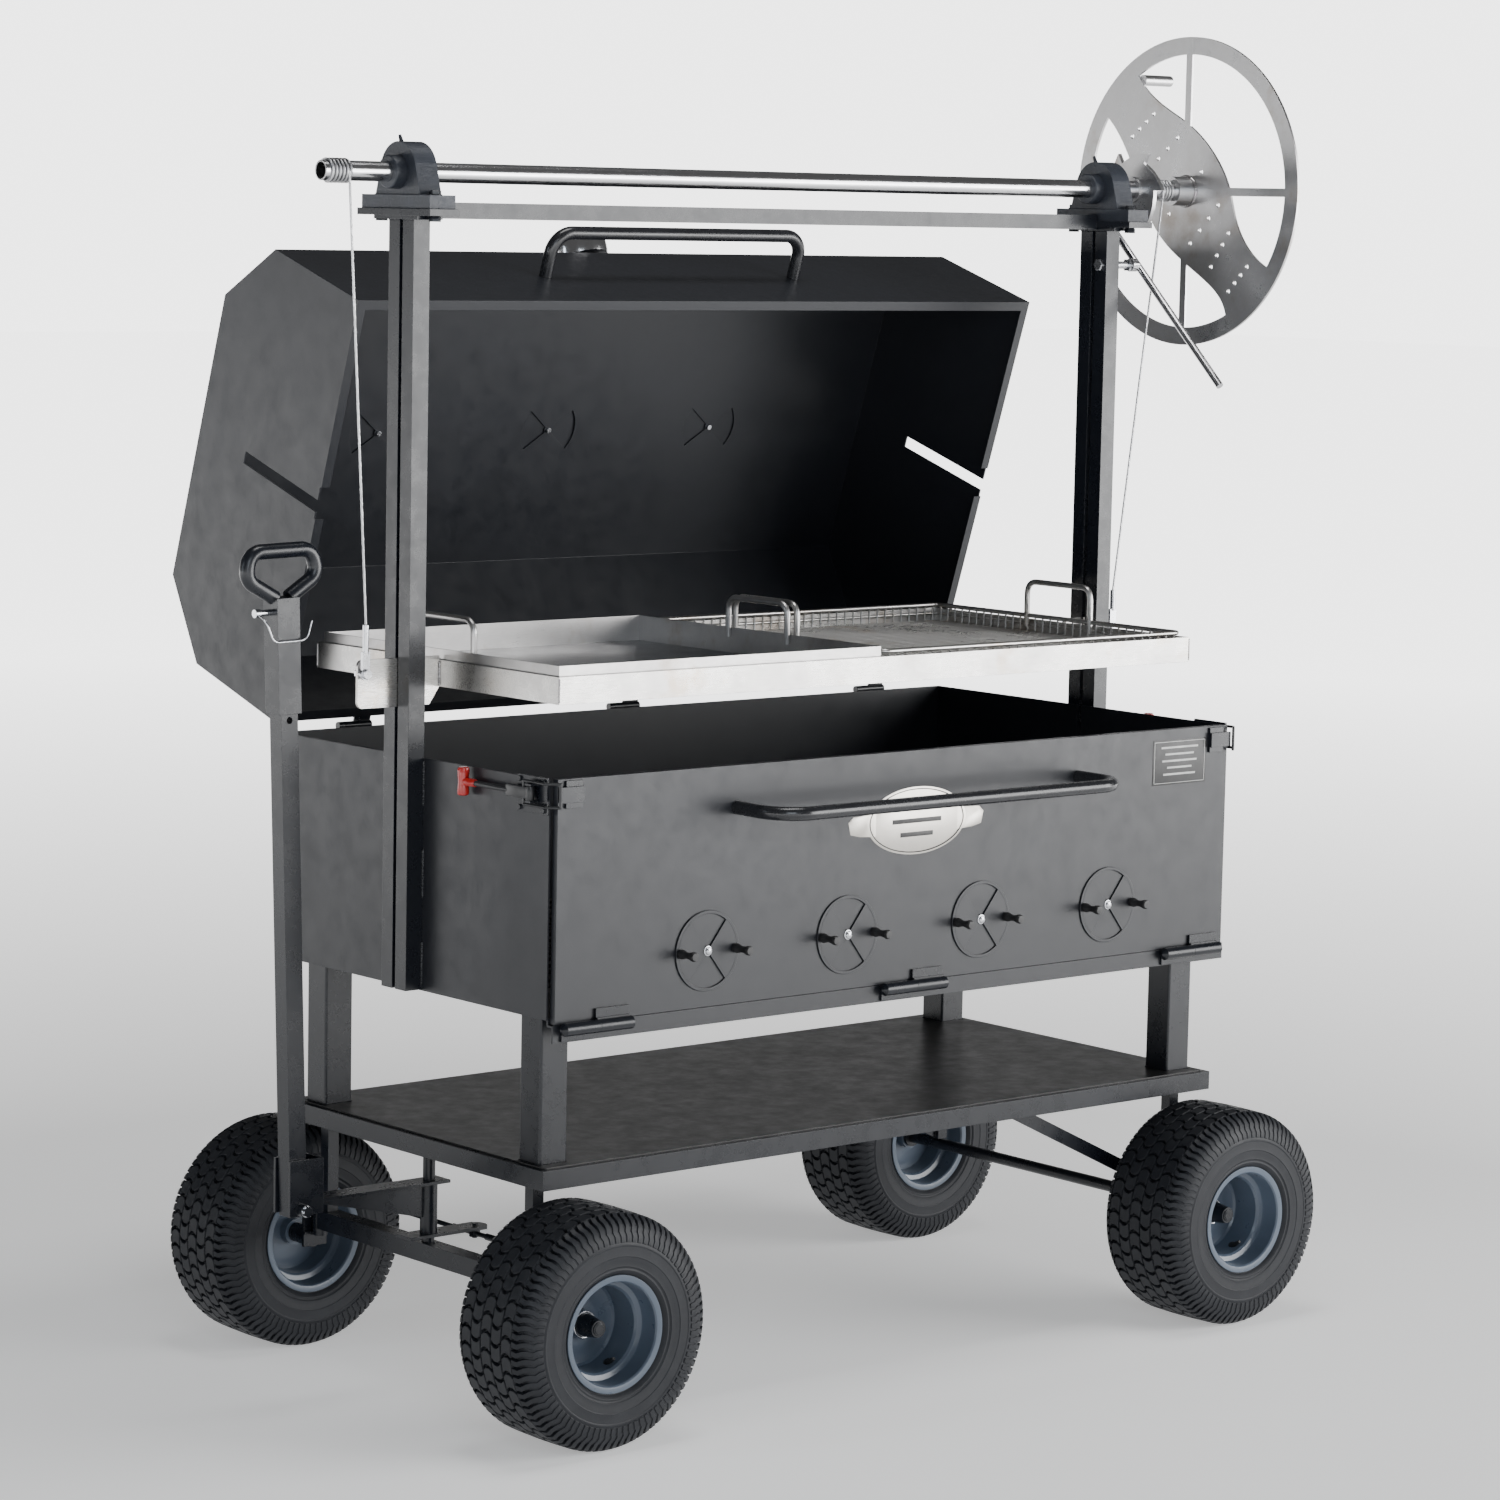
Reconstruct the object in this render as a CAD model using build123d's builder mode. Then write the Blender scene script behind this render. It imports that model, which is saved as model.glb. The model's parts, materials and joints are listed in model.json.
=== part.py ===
from build123d import *
from math import cos, sin, radians, tan, hypot
import os

# Height-adjustable charcoal grill wagon, in millimetres. X runs along the wagon, -Y is its door side,
# and Z = 0 is the floor. The lid is drawn open and every other moving piece is drawn closed or level.

os.makedirs("parts", exist_ok=True)

# Driving dimensions: wagon
shelf_x = 892.7
shelf_y = 427.4
shelf_tube = 38.0
shelf_top = 517.0
plate_t = 3.0
plate_inset = 12.0
leg_side = 65.4
leg_x = 837.5
leg_y = 353.75
seam = 0.05

# Firebox
box_floor = 804.0
box_top = 1257.0
box_x = 897.5
sheet = 4.0
box_front = -436.0
box_back = 459.5
apron_front = -451.2
apron_low = 761.5
apron_top = 795.0
end_slot = 12.0
end_slot_low = 900.0
coal_z = 862.0
coal_rod = 4.0

# Masts and lifting shaft
mast_top = 2286.0
mast_y = (5.0, 40.0)
mast_x = (897.5, 935.6)
head_x = (886.0, 955.0)
head_z = (2293.0, 2306.0)
shaft_z = 2374.5
shaft_r = 19.05
bearing_x = 920.0
bearing_r = 32.0
bearing_fit = 0.06
foot_bolt_y = 86.0
cable_r = 2.5
wheel_plane = 1176.0
wheel_r = 335.0
wheel_inner_r = 297.0
pawl_y = -22.0
pawl_z = 2213.0
pawl_x = 1008.0
pin_fit = 0.05

# Grate carriage
grate_x = 836.8
grate_front = -383.0
grate_back = 410.0
grate_low = 1389.0
grate_top = 1441.0
angle_t = 5.0
angle_leg = 50.0
tray_low = 1405.3
tray_front = -372.0
tray_back = 395.0
handle_rod = 6.5
handle_top = 1530.0

# Door
door_x = 889.0
door_low = 796.0
door_top = 1259.0
door_t = 3.0
door_flange = 14.7
door_axis_y = -464.0
door_axis_z = 788.0
door_damper_x = (-523.5, -166.5, 190.5, 547.5)
door_damper_z = 905.0
damper_r = 78.5
damper_t = 3.0
gap = 0.3

# Lid, in its own outline: u runs from the hinge to the lid's front edge, w runs up when it is closed
lid_x = 896.3
lid_t = 3.4
lid_axis_y = 475.0
lid_axis_z = 1259.0
lid_open = radians(72)
lid_u = (17.0, 157.0, 767.0, 912.0)
lid_w = (1.0, 302.5, 444.0)
lid_damper_x = (-450.0, 0.0, 450.0)
lid_damper_u = 461.0

# Running gear
tyre_r = 228.6
tyre_half = 110.0
wheel_y = 493.0
axle_r = 12.7
right_x = 842.0
left_x = -845.0
kingpin_y = 370.0
steer_arm = 113.0
rod_z = 296.0


def block(x, y, z, mode=Mode.ADD):
    """A rectangular bar between two limits along each axis."""
    with Locations(((x[0] + x[1]) / 2, (y[0] + y[1]) / 2, (z[0] + z[1]) / 2)):
        Box(x[1] - x[0], y[1] - y[0], z[1] - z[0], mode=mode)


def rod(start, end, radius, mode=Mode.ADD):
    """A round bar from one point to another."""
    run = Vector(*end) - Vector(*start)
    middle = (Vector(*end) + Vector(*start)) / 2
    with Locations(Plane(origin=middle, z_dir=run).location):
        Cylinder(radius, run.length, mode=mode)


def cone(start, end, radius_start, radius_end):
    """A taper from one point to another."""
    run = Vector(*end) - Vector(*start)
    middle = (Vector(*end) + Vector(*start)) / 2
    with Locations(Plane(origin=middle, z_dir=run).location):
        Cone(radius_start, radius_end, run.length)


def hexagon(start, end, across):
    """A hexagon bar from one point to another, as a bolt head or a nut."""
    run = Vector(*end) - Vector(*start)
    with BuildPart() as made:
        with BuildSketch(Plane(origin=start, z_dir=run)):
            RegularPolygon(across / 2, 6, major_radius=False)
        extrude(amount=run.length)
    return made.part


def bent_rod(points, bend, radius, closed=False):
    """A round bar bent through the given corners."""
    with BuildPart() as made:
        with BuildLine() as path:
            FilletPolyline(*points, radius=bend, close=closed)
        start = path.wires()[0]
        with BuildSketch(Plane(origin=start @ 0, z_dir=start % 0)):
            Circle(radius)
        sweep(path=path.wires()[0])
    return made.part


def pie(plane, inner, outer, start, sweep_angle, depth):
    """A sector of a ring on a plane, as cut in a draught disc."""
    with BuildPart() as made:
        with BuildSketch(plane) as face:
            with BuildLine():
                CenterArc((0, 0), inner, start, sweep_angle)
                CenterArc((0, 0), outer, start, sweep_angle)
                for turn in (radians(start), radians(start + sweep_angle)):
                    Line((inner * cos(turn), inner * sin(turn)), (outer * cos(turn), outer * sin(turn)))
            make_face()
        extrude(amount=depth, both=True)
    return made.part


def lid_point(x, u, w):
    """The place of a lid point in the wagon's frame, with the lid open."""
    y = lid_axis_y - u * cos(lid_open) + w * sin(lid_open)
    z = lid_axis_z + u * sin(lid_open) + w * cos(lid_open)
    return (x, y, z)


def lid_plane(x, u, w, normal=(-1, 0, 0)):
    """A plane on the lid whose first axis runs towards the lid's front edge unless it is the normal."""
    along = (0, -cos(lid_open), sin(lid_open)) if normal[0] else (1, 0, 0)
    return Plane(origin=lid_point(x, u, w), x_dir=along, z_dir=normal)


# ---------------------------------------------------------------- wagon frame

tube_z = (shelf_top - plate_t - shelf_tube, shelf_top - plate_t)
rail_in = shelf_y - shelf_tube - seam
with BuildPart() as shelf_frame:
    for side in (-1, 1):
        rail = sorted((side * shelf_y, side * (shelf_y - shelf_tube)))
        block((-shelf_x, shelf_x), rail, tube_z)
        block(sorted((side * shelf_x, side * (shelf_x - shelf_tube))), (-rail_in, rail_in), tube_z)
        block(sorted((side * (shelf_x - shelf_tube - seam), side * 829.0)), (-rail_in, rail_in), tube_z)
    block((-shelf_tube / 2, shelf_tube / 2), (-rail_in, rail_in), tube_z)
shelf_frame.part.label = "shelf_frame"
export_step(shelf_frame.part, "parts/shelf_frame.step")

plate_x = shelf_x - plate_inset
plate_y = shelf_y - plate_inset
with BuildPart() as shelf_plate:
    block((-plate_x, plate_x), (-plate_y, plate_y), (shelf_top - plate_t, shelf_top))
    fillet(shelf_plate.edges().filter_by(Axis.Z), 6)
    with BuildSketch(Plane.XY.offset(shelf_top - plate_t)):
        with GridLocations(2 * leg_x, 2 * leg_y, 2, 2):
            RectangleRounded(leg_side + 2 * seam, leg_side + 2 * seam, 5)
    extrude(amount=plate_t, mode=Mode.SUBTRACT)
shelf_plate.part.label = "shelf_plate"
export_step(shelf_plate.part, "parts/shelf_plate.step")

with BuildPart() as legs:
    with BuildSketch(Plane.XY.offset(shelf_top - plate_t)):
        with GridLocations(2 * leg_x, 2 * leg_y, 2, 2):
            RectangleRounded(leg_side, leg_side, 5)
            RectangleRounded(leg_side - 6, leg_side - 6, 3, mode=Mode.SUBTRACT)
    extrude(amount=box_floor - shelf_top + plate_t)
legs.part.label = "legs"
export_step(legs.part, "parts/legs.step")

# ---------------------------------------------------------------- firebox

with BuildPart() as firebox_end_panels:
    for side in (-1, 1):
        across = sorted((side * box_x, side * (box_x - sheet)))
        block(across, (box_front, box_back), (box_floor, box_top))
        block(across, (-end_slot / 2, end_slot / 2), (end_slot_low, box_top + 1), Mode.SUBTRACT)
firebox_end_panels.part.label = "firebox_end_panels"
export_step(firebox_end_panels.part, "parts/firebox_end_panels.step")

inside_x = box_x - sheet
step_z = apron_top - sheet
with BuildPart() as firebox_wrapper:
    block((-inside_x, inside_x), (box_back - sheet, box_back), (box_floor, box_top))
    block((-inside_x, inside_x), (box_front, box_back - sheet), (box_floor, box_floor + sheet))
    block((-inside_x, inside_x), (box_front, box_front + sheet), (step_z, box_floor))
    block((-inside_x, inside_x), (apron_front, box_front), (step_z, apron_top))
    block((-inside_x, inside_x), (apron_front, apron_front + sheet), (apron_low, step_z))
firebox_wrapper.part.label = "firebox_wrapper"
export_step(firebox_wrapper.part, "parts/firebox_wrapper.step")

coal_x = 870.0
coal_y = (-400.0, 440.0)
coal_pitch = 60.0
with BuildPart() as charcoal_grate:
    for step in range(15):
        line_y = coal_y[0] + step * coal_pitch
        rod((-coal_x, line_y, coal_z), (coal_x, line_y, coal_z), coal_rod)
    for bar_x in (-800, 0, 800):
        block((bar_x - 6, bar_x + 6), coal_y, (coal_z - 14, coal_z))
        for foot_y in coal_y:
            near = min(max(foot_y, coal_y[0] + 10), coal_y[1] - 10)
            block((bar_x - 6, bar_x + 6), (near - 10, near + 10), (box_floor + sheet, coal_z - 14 - seam))
charcoal_grate.part.label = "charcoal_grate"
export_step(charcoal_grate.part, "parts/charcoal_grate.step")

# ---------------------------------------------------------------- masts and bearings

mast_wall = 3.0
with BuildPart() as masts:
    for side in (-1, 1):
        for face in (-1, 1):
            across = sorted((side * mast_x[0], side * mast_x[1]))
            deep = sorted((face * mast_y[0], face * mast_y[1]))
            block(across, deep, (box_floor + 2, mast_top))
            hollow_x = (across[0] + mast_wall, across[1] - mast_wall)
            hollow_y = (deep[0] + mast_wall, deep[1] - mast_wall)
            block(hollow_x, hollow_y, (box_floor + 2, mast_top), Mode.SUBTRACT)
    rod((mast_x[0] - 1, pawl_y, pawl_z), (mast_x[1] + 1, pawl_y, pawl_z), 8.3, Mode.SUBTRACT)
masts.part.label = "masts"
export_step(masts.part, "parts/masts.step")

with BuildPart() as mast_head:
    for side in (-1, 1):
        block(sorted((side * head_x[0], side * head_x[1])), (-118, 118), head_z)
        block(sorted((side * 890, side * 950)), (-70, 70), (mast_top, head_z[0]))
        for bolt_y in (-foot_bolt_y, foot_bolt_y):
            at = side * bearing_x
            rod((at, bolt_y, head_z[0] - 1), (at, bolt_y, head_z[1] + 1), 6.5, Mode.SUBTRACT)
    cross_x = head_x[0] - seam
    block((-cross_x, cross_x), (-19, 19), (2288, 2319))
mast_head.part.label = "mast_head"
export_step(mast_head.part, "parts/mast_head.step")

foot_top = head_z[1] + 26
with BuildPart() as bearing_housings:
    for side in (-1, 1):
        middle = side * bearing_x
        with BuildSketch(Plane(origin=(middle - 25, 0, 0), x_dir=(0, 1, 0), z_dir=(1, 0, 0))):
            with BuildLine():
                shoulder = 58 * cos(radians(18))
                rise = shaft_z + 58 * sin(radians(18))
                Polyline(
                    (shoulder, rise), (72, foot_top), (72, head_z[1]),
                    (-72, head_z[1]), (-72, foot_top), (-shoulder, rise),
                )
                ThreePointArc((-shoulder, rise), (0, shaft_z + 58), (shoulder, rise))
            make_face()
        extrude(amount=50)
        block((middle - 30, middle + 30), (-110, 110), (head_z[1], foot_top))
        rod((middle - 40, 0, shaft_z), (middle + 40, 0, shaft_z), bearing_r + bearing_fit, Mode.SUBTRACT)
        for bolt_y in (-foot_bolt_y, foot_bolt_y):
            rod((middle, bolt_y, head_z[1] - 1), (middle, bolt_y, foot_top + 1), 6.5, Mode.SUBTRACT)
        cone((middle, 22, shaft_z + 52), (middle, 30, shaft_z + 70), 5, 3)
bearing_housings.part.label = "bearing_housings"
export_step(bearing_housings.part, "parts/bearing_housings.step")

with BuildPart() as frame_bolts:
    for side in (-1, 1):
        for bolt_y in (-foot_bolt_y, foot_bolt_y):
            at = side * bearing_x
            rod((at, bolt_y, head_z[0] - 14), (at, bolt_y, foot_top), 6)
            add(hexagon((at, bolt_y, foot_top), (at, bolt_y, foot_top + 9), 20))
            add(hexagon((at, bolt_y, head_z[0] - 11), (at, bolt_y, head_z[0]), 20))
    rod((889.5, pawl_y, pawl_z), (986, pawl_y, pawl_z), 8)
    add(hexagon((888, pawl_y, pawl_z), (mast_x[0], pawl_y, pawl_z), 24))
    add(hexagon((977, pawl_y, pawl_z), (985, pawl_y, pawl_z), 24))
frame_bolts.part.label = "frame_bolts"
export_step(frame_bolts.part, "parts/frame_bolts.step")

# ---------------------------------------------------------------- winch

shaft_x = (-1122.0, 1202.0)
with BuildPart() as winch_shaft:
    rod((shaft_x[0], 0, shaft_z), (shaft_x[1], 0, shaft_z), shaft_r)
    for side in (-1, 1):
        ring = (side * bearing_x - 50, side * bearing_x + 27)
        rod((ring[0], 0, shaft_z), (ring[1], 0, shaft_z), bearing_r)
    rod((shaft_x[0] - 1, 0, shaft_z), (shaft_x[1] + 1, 0, shaft_z), 15.5, Mode.SUBTRACT)
winch_shaft.part.label = "winch_shaft"
export_step(winch_shaft.part, "parts/winch_shaft.step")

wrap_x = ((-1115.0, -1060.0), (1080.0, 1119.0))
with BuildPart() as cable_wraps:
    for span in wrap_x:
        rod((span[0], 0, shaft_z), (span[1], 0, shaft_z), shaft_r + 2 * cable_r)
        rod((span[0] - 1, 0, shaft_z), (span[1] + 1, 0, shaft_z), shaft_r + pin_fit, Mode.SUBTRACT)
cable_wraps.part.label = "cable_wraps"
export_step(cable_wraps.part, "parts/cable_wraps.step")

ratchet_teeth = 6
ratchet_root = 66.0
ratchet_tip = 90.0
tooth_turn = radians(360 / ratchet_teeth)
with BuildPart() as ratchet_wheel:
    with BuildSketch(Plane(origin=(1008, 0, shaft_z), x_dir=(0, 1, 0), z_dir=(1, 0, 0))):
        with BuildLine():
            for tooth in range(ratchet_teeth):
                start = tooth * tooth_turn
                end = start + tooth_turn
                root = (ratchet_root * cos(start), ratchet_root * sin(start))
                swell = (74 * cos(start + 0.55 * tooth_turn), 74 * sin(start + 0.55 * tooth_turn))
                tip = (ratchet_tip * cos(end), ratchet_tip * sin(end))
                ThreePointArc(root, swell, tip)
                Line(tip, (ratchet_root * cos(end), ratchet_root * sin(end)))
        make_face()
    extrude(amount=10)
    rod((1004, 0, shaft_z), (1024, 0, shaft_z), 28)
    rod((1000, 0, shaft_z), (1030, 0, shaft_z), shaft_r + pin_fit, Mode.SUBTRACT)
ratchet_wheel.part.label = "ratchet_wheel"
export_step(ratchet_wheel.part, "parts/ratchet_wheel.step")

hub_x = (1125.0, 1200.0)
wheel_t = 6.0
grip_y = 148.0
grip_z = 242.5
spoke_half = 9.0
punch_r = 5.0
upper_edge = [(172, 275), (80, 188), (-5, 144), (-84, 79)]
upper_edge += [(-132, 4), (-153, -60), (-213, -139), (-262, -165)]
lower_edge = [(-135, -280), (-118, -236), (-65, -192), (13, -146)]
lower_edge += [(87, -86), (150, 20), (195, 100), (262, 172)]
with BuildPart() as handwheel:
    face = Plane(origin=(wheel_plane - wheel_t / 2, 0, shaft_z), x_dir=(0, 1, 0), z_dir=(1, 0, 0))
    with BuildSketch(face):
        with BuildLine():
            Spline(*upper_edge)
            Line(upper_edge[-1], lower_edge[0])
            Spline(*lower_edge)
            Line(lower_edge[-1], upper_edge[0])
        make_face()
        Circle(wheel_inner_r + 2, mode=Mode.INTERSECT)
        for first, last in zip(upper_edge[1:7], reversed(lower_edge[1:7])):
            for share in (0.22, 0.41, 0.59, 0.78):
                across = (first[0] + share * (last[0] - first[0]), first[1] + share * (last[1] - first[1]))
                if hypot(*across) > 45:
                    with Locations(across):
                        Circle(punch_r, mode=Mode.SUBTRACT)
    extrude(amount=wheel_t)
    with BuildSketch(face):
        Circle(wheel_r)
        Circle(wheel_inner_r, mode=Mode.SUBTRACT)
    extrude(amount=wheel_t)
    thick = (wheel_plane - wheel_t / 2, wheel_plane + wheel_t / 2)
    reach = wheel_inner_r + 2
    block(thick, (-spoke_half, spoke_half), (shaft_z, shaft_z + reach))
    block(thick, (-spoke_half, spoke_half), (shaft_z - reach, shaft_z))
    block(thick, (-reach, 0), (shaft_z - spoke_half, shaft_z + spoke_half))
    rod((hub_x[0], 0, shaft_z), (hub_x[1], 0, shaft_z), 31.5)
    rod((hub_x[0] - 1, 0, shaft_z), (hub_x[1] + 1, 0, shaft_z), shaft_r + pin_fit, Mode.SUBTRACT)
    rod((thick[1], grip_y, shaft_z + grip_z), (thick[1] + 84, grip_y, shaft_z + grip_z), 12)
handwheel.part.label = "handwheel"
export_step(handwheel.part, "parts/handwheel.step")

# The pawl lever turns on a bolt through the right front mast
pawl_low = (pawl_x, -283.0, 1962.0)
pawl_high = (pawl_x, 45.0, 2280.0)
with BuildPart() as pawl_lever:
    rod(pawl_low, pawl_high, 8)
    rod((986, pawl_y, pawl_z), (1004, pawl_y, pawl_z), 14)
    rod((985, pawl_y, pawl_z), (999, pawl_y, pawl_z), 8 + pin_fit, Mode.SUBTRACT)
pawl_lever.part.label = "pawl_lever"
export_step(pawl_lever.part, "parts/pawl_lever.step")

# ---------------------------------------------------------------- grate carriage

inner_x = grate_x - angle_t
flat_z = (grate_low, grate_low + angle_t)
wall_z = (grate_low, grate_top)
ledge_y = (grate_front + angle_t, grate_back - angle_t)
with BuildPart() as grate_frame:
    block((-grate_x, grate_x), (grate_front, ledge_y[0]), wall_z)
    block((-grate_x, grate_x), (ledge_y[1], grate_back), wall_z)
    block((-inner_x, inner_x), (ledge_y[0] + seam, ledge_y[0] + angle_leg), flat_z)
    block((-inner_x, inner_x), (ledge_y[1] - angle_leg, ledge_y[1] - seam), flat_z)
    between = (ledge_y[0] + angle_leg + seam, ledge_y[1] - angle_leg - seam)
    for side in (-1, 1):
        wall = sorted((side * inner_x, side * grate_x))
        ledge = sorted((side * (inner_x - seam), side * (inner_x - angle_leg)))
        block(wall, (ledge_y[0] + seam, ledge_y[1] - seam), wall_z)
        block(ledge, between, flat_z)
    for bar_x in (-600, -200, 200, 600):
        bar_y = (ledge_y[0] + seam, ledge_y[1] - seam)
        block((bar_x - 15, bar_x + 15), bar_y, (flat_z[1] + seam, tray_low - gap))
grate_frame.part.label = "grate_frame"
export_step(grate_frame.part, "parts/grate_frame.step")

bracket_z = (1355.0, 1449.0)
cable_end = ((-1020.0, 1435.0), (968.0, 1435.0))
with BuildPart() as grate_brackets:
    with BuildSketch(Plane.XZ.offset(-3)):
        with BuildLine():
            Polyline(
                (-grate_x, bracket_z[1]), (-889, bracket_z[1]), (-889, 1376), (-900, 1376),
                (-900, bracket_z[1]), (-1029, bracket_z[1]), (-1029, bracket_z[0]),
                (-860, bracket_z[0]), (-grate_x, grate_low), (-grate_x, bracket_z[1]),
            )
        make_face()
    extrude(amount=6)
    with BuildSketch(Plane.XZ.offset(-3)):
        with BuildLine():
            Polyline(
                (grate_x, bracket_z[1]), (889, bracket_z[1]), (889, 1376), (900, 1376),
                (900, bracket_z[1]), (980, bracket_z[1]), (980, bracket_z[0]),
                (860, bracket_z[0]), (grate_x, grate_low), (grate_x, bracket_z[1]),
            )
        make_face()
    extrude(amount=6)
    outer = grate_brackets.edges().filter_by(Axis.Y).group_by(Axis.X)
    fillet(outer[0] + outer[-1], 12)
    for end in cable_end:
        rod((end[0], -5, end[1] - 12), (end[0], 5, end[1] - 12), 5.5, Mode.SUBTRACT)
grate_brackets.part.label = "grate_brackets"
export_step(grate_brackets.part, "parts/grate_brackets.step")

cable_top = ((-1072.0, -21.5, 2351.0), (1072.0, -21.5, 2351.0))
cable_foot = ((-1020.0, -16.0, 1518.0), (968.0, -18.0, 1508.0))
with BuildPart() as hoist_cables:
    for top, foot in zip(cable_top, cable_foot):
        rod(top, foot, cable_r)
hoist_cables.part.label = "hoist_cables"
export_step(hoist_cables.part, "parts/hoist_cables.step")

eye_low = bracket_z[1] - 26
with BuildPart() as cable_ends:
    for foot in cable_foot:
        rod((foot[0], foot[1], 1463), (foot[0], foot[1], foot[2] - 0.5), 6)
        block((foot[0] - 9, foot[0] + 9), (foot[1] - 3, foot[1] + 3), (eye_low, 1466))
        rod((foot[0], foot[1] - 3, eye_low), (foot[0], foot[1] + 3, eye_low), 12)
        rod((foot[0], foot[1] - 10, eye_low), (foot[0], 10, eye_low), 5)
        rod((foot[0], foot[1], eye_low), (foot[0], -3 - seam, eye_low), 9)
        add(hexagon((foot[0], foot[1] - 10, eye_low), (foot[0], foot[1] - 3, eye_low), 17))
        add(hexagon((foot[0], 3 + seam, eye_low), (foot[0], 9, eye_low), 17))
cable_ends.part.label = "cable_ends"
export_step(cable_ends.part, "parts/cable_ends.step")


def carry_handle(x, half, foot, top):
    """A bow handle of round rod standing on the wall of a tray."""
    points = [(x, -half, foot), (x, -half, top), (x, half, top), (x, half, foot)]
    return bent_rod(points, 25, handle_rod)


def open_tray(x, rim, wall, hand_x, hand_half):
    """A rectangular tray with a flat floor, upright walls and a bow handle at each end."""
    with BuildPart() as made:
        block(x, (tray_front, tray_back), (tray_low, rim))
        inner_y = (tray_front + wall, tray_back - wall)
        block((x[0] + wall, x[1] - wall), inner_y, (tray_low + 3, rim + 1), Mode.SUBTRACT)
        for end in hand_x:
            add(carry_handle(end, hand_half, rim - 20, handle_top - handle_rod))
    return made.part


with BuildPart() as griddle_tray:
    add(open_tray((-829.0, -23.0), 1461.0, 3.0, (-821.5, -30.5), 93.0))
griddle_tray.part.label = "griddle_tray"
export_step(griddle_tray.part, "parts/griddle_tray.step")

with BuildPart() as wire_basket:
    add(open_tray((-15.0, 828.0), 1454.0, 5.0, (-8.5, 821.5), 98.0))
wire_basket.part.label = "wire_basket"
export_step(wire_basket.part, "parts/wire_basket.step")

# ---------------------------------------------------------------- door

door_holes_r = (10.0, 72.0)
with BuildPart() as door_panel:
    back = apron_front + door_flange
    block((-door_x, door_x), (apron_front, back), (door_low, door_top))
    hollow = (apron_front + door_t, back + 1)
    block((-door_x + door_t, door_x - door_t), hollow, (door_low + door_t, door_top - door_t), Mode.SUBTRACT)
    for at in door_damper_x:
        hole_plane = Plane(origin=(at, apron_front, door_damper_z), x_dir=(1, 0, 0), z_dir=(0, -1, 0))
        for start in (-38, 142):
            add(pie(hole_plane, door_holes_r[0], door_holes_r[1], start, 76, 5), mode=Mode.SUBTRACT)
        bolt_y = (apron_front - 1, apron_front + 5)
        rod((at, bolt_y[0], door_damper_z), (at, bolt_y[1], door_damper_z), 6 + pin_fit, Mode.SUBTRACT)
door_panel.part.label = "door_panel"
export_step(door_panel.part, "parts/door_panel.step")

handle_r = 13.5
door_bar = (-591.0, 1177.0)
with BuildPart() as door_handle:
    foot_y = apron_front
    points = [(-455, foot_y, door_bar[1]), (-455, door_bar[0], door_bar[1])]
    points += [(455, door_bar[0], door_bar[1]), (455, foot_y, door_bar[1])]
    add(bent_rod(points, 70, handle_r))
door_handle.part.label = "door_handle"
export_step(door_handle.part, "parts/door_handle.step")

with BuildPart() as door_badge:
    with BuildSketch(Plane(origin=(11.5, apron_front, 1119), x_dir=(1, 0, 0), z_dir=(0, -1, 0))):
        Ellipse(132, 68)
        with Locations((0, -4)):
            Rectangle(361, 44)
    extrude(amount=2)
door_badge.part.label = "door_badge"
export_step(door_badge.part, "parts/door_badge.step")

catch_x = (889.6, 873.0, 833.0)
latch_z = 1230.0
with BuildPart() as latch_catches:
    for side in (-1, 1):
        plate = sorted((side * catch_x[1], side * catch_x[2]))
        block(plate, (apron_front - 5, apron_front), (1204, 1256))
        block(plate, (apron_front - 10, apron_front - 5), (1215, 1245))
        lip = sorted((side * catch_x[0], side * (catch_x[1] - 4)))
        block(lip, (apron_front - 10, apron_front - 5), (latch_z - 15, latch_z + 15))
latch_catches.part.label = "latch_catches"
export_step(latch_catches.part, "parts/latch_catches.step")

door_hinge_x = ((-876.0, -716.0), (-75.0, 86.0), (709.0, 869.0))
barrel_r = 12.5
with BuildPart() as door_hinge_barrels:
    for span in door_hinge_x:
        middle = (span[0] + span[1]) / 2 + gap
        rod((middle, door_axis_y, door_axis_z), (span[1], door_axis_y, door_axis_z), barrel_r)
        cone((span[1], door_axis_y, door_axis_z), (span[1] + 9, door_axis_y, door_axis_z), barrel_r, 2)
        block((middle, span[1]), (-457, apron_front), (797, 820))
        block((middle, span[1]), (-462, -455), (790, 803))
        bore_end = (span[1] - 8, door_axis_y, door_axis_z)
        rod((middle - 1, door_axis_y, door_axis_z), bore_end, 6 + pin_fit, Mode.SUBTRACT)
door_hinge_barrels.part.label = "door_hinge_barrels"
export_step(door_hinge_barrels.part, "parts/door_hinge_barrels.step")


def damper(plane, stem):
    """A draught disc with two open sectors, its centre bolt and two spool knobs, standing on a plane."""
    with BuildPart() as made:
        with BuildSketch(plane.offset(gap)):
            Circle(damper_r)
        extrude(amount=damper_t)
        for start in (52, 232):
            add(pie(plane, door_holes_r[0], door_holes_r[1], start, 76, 8), mode=Mode.SUBTRACT)
        with BuildSketch(plane.offset(-stem)):
            Circle(6)
        extrude(amount=stem + 5)
        with BuildSketch(plane.offset(gap + damper_t)):
            Circle(8)
        extrude(amount=7)
        with BuildSketch(plane.offset(gap + damper_t)):
            with Locations((-68, 0), (68, 0)):
                Circle(9.5)
        extrude(amount=47)
    return made.part


for count, at in enumerate(door_damper_x, start=1):
    front = Plane(origin=(at, apron_front, door_damper_z), x_dir=(1, 0, 0), z_dir=(0, -1, 0))
    with BuildPart() as door_damper:
        add(damper(front, 9))
    door_damper.part.label = f"door_damper_{count}"
    export_step(door_damper.part, f"parts/door_damper_{count}.step")

# ---------------------------------------------------------------- latches

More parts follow.
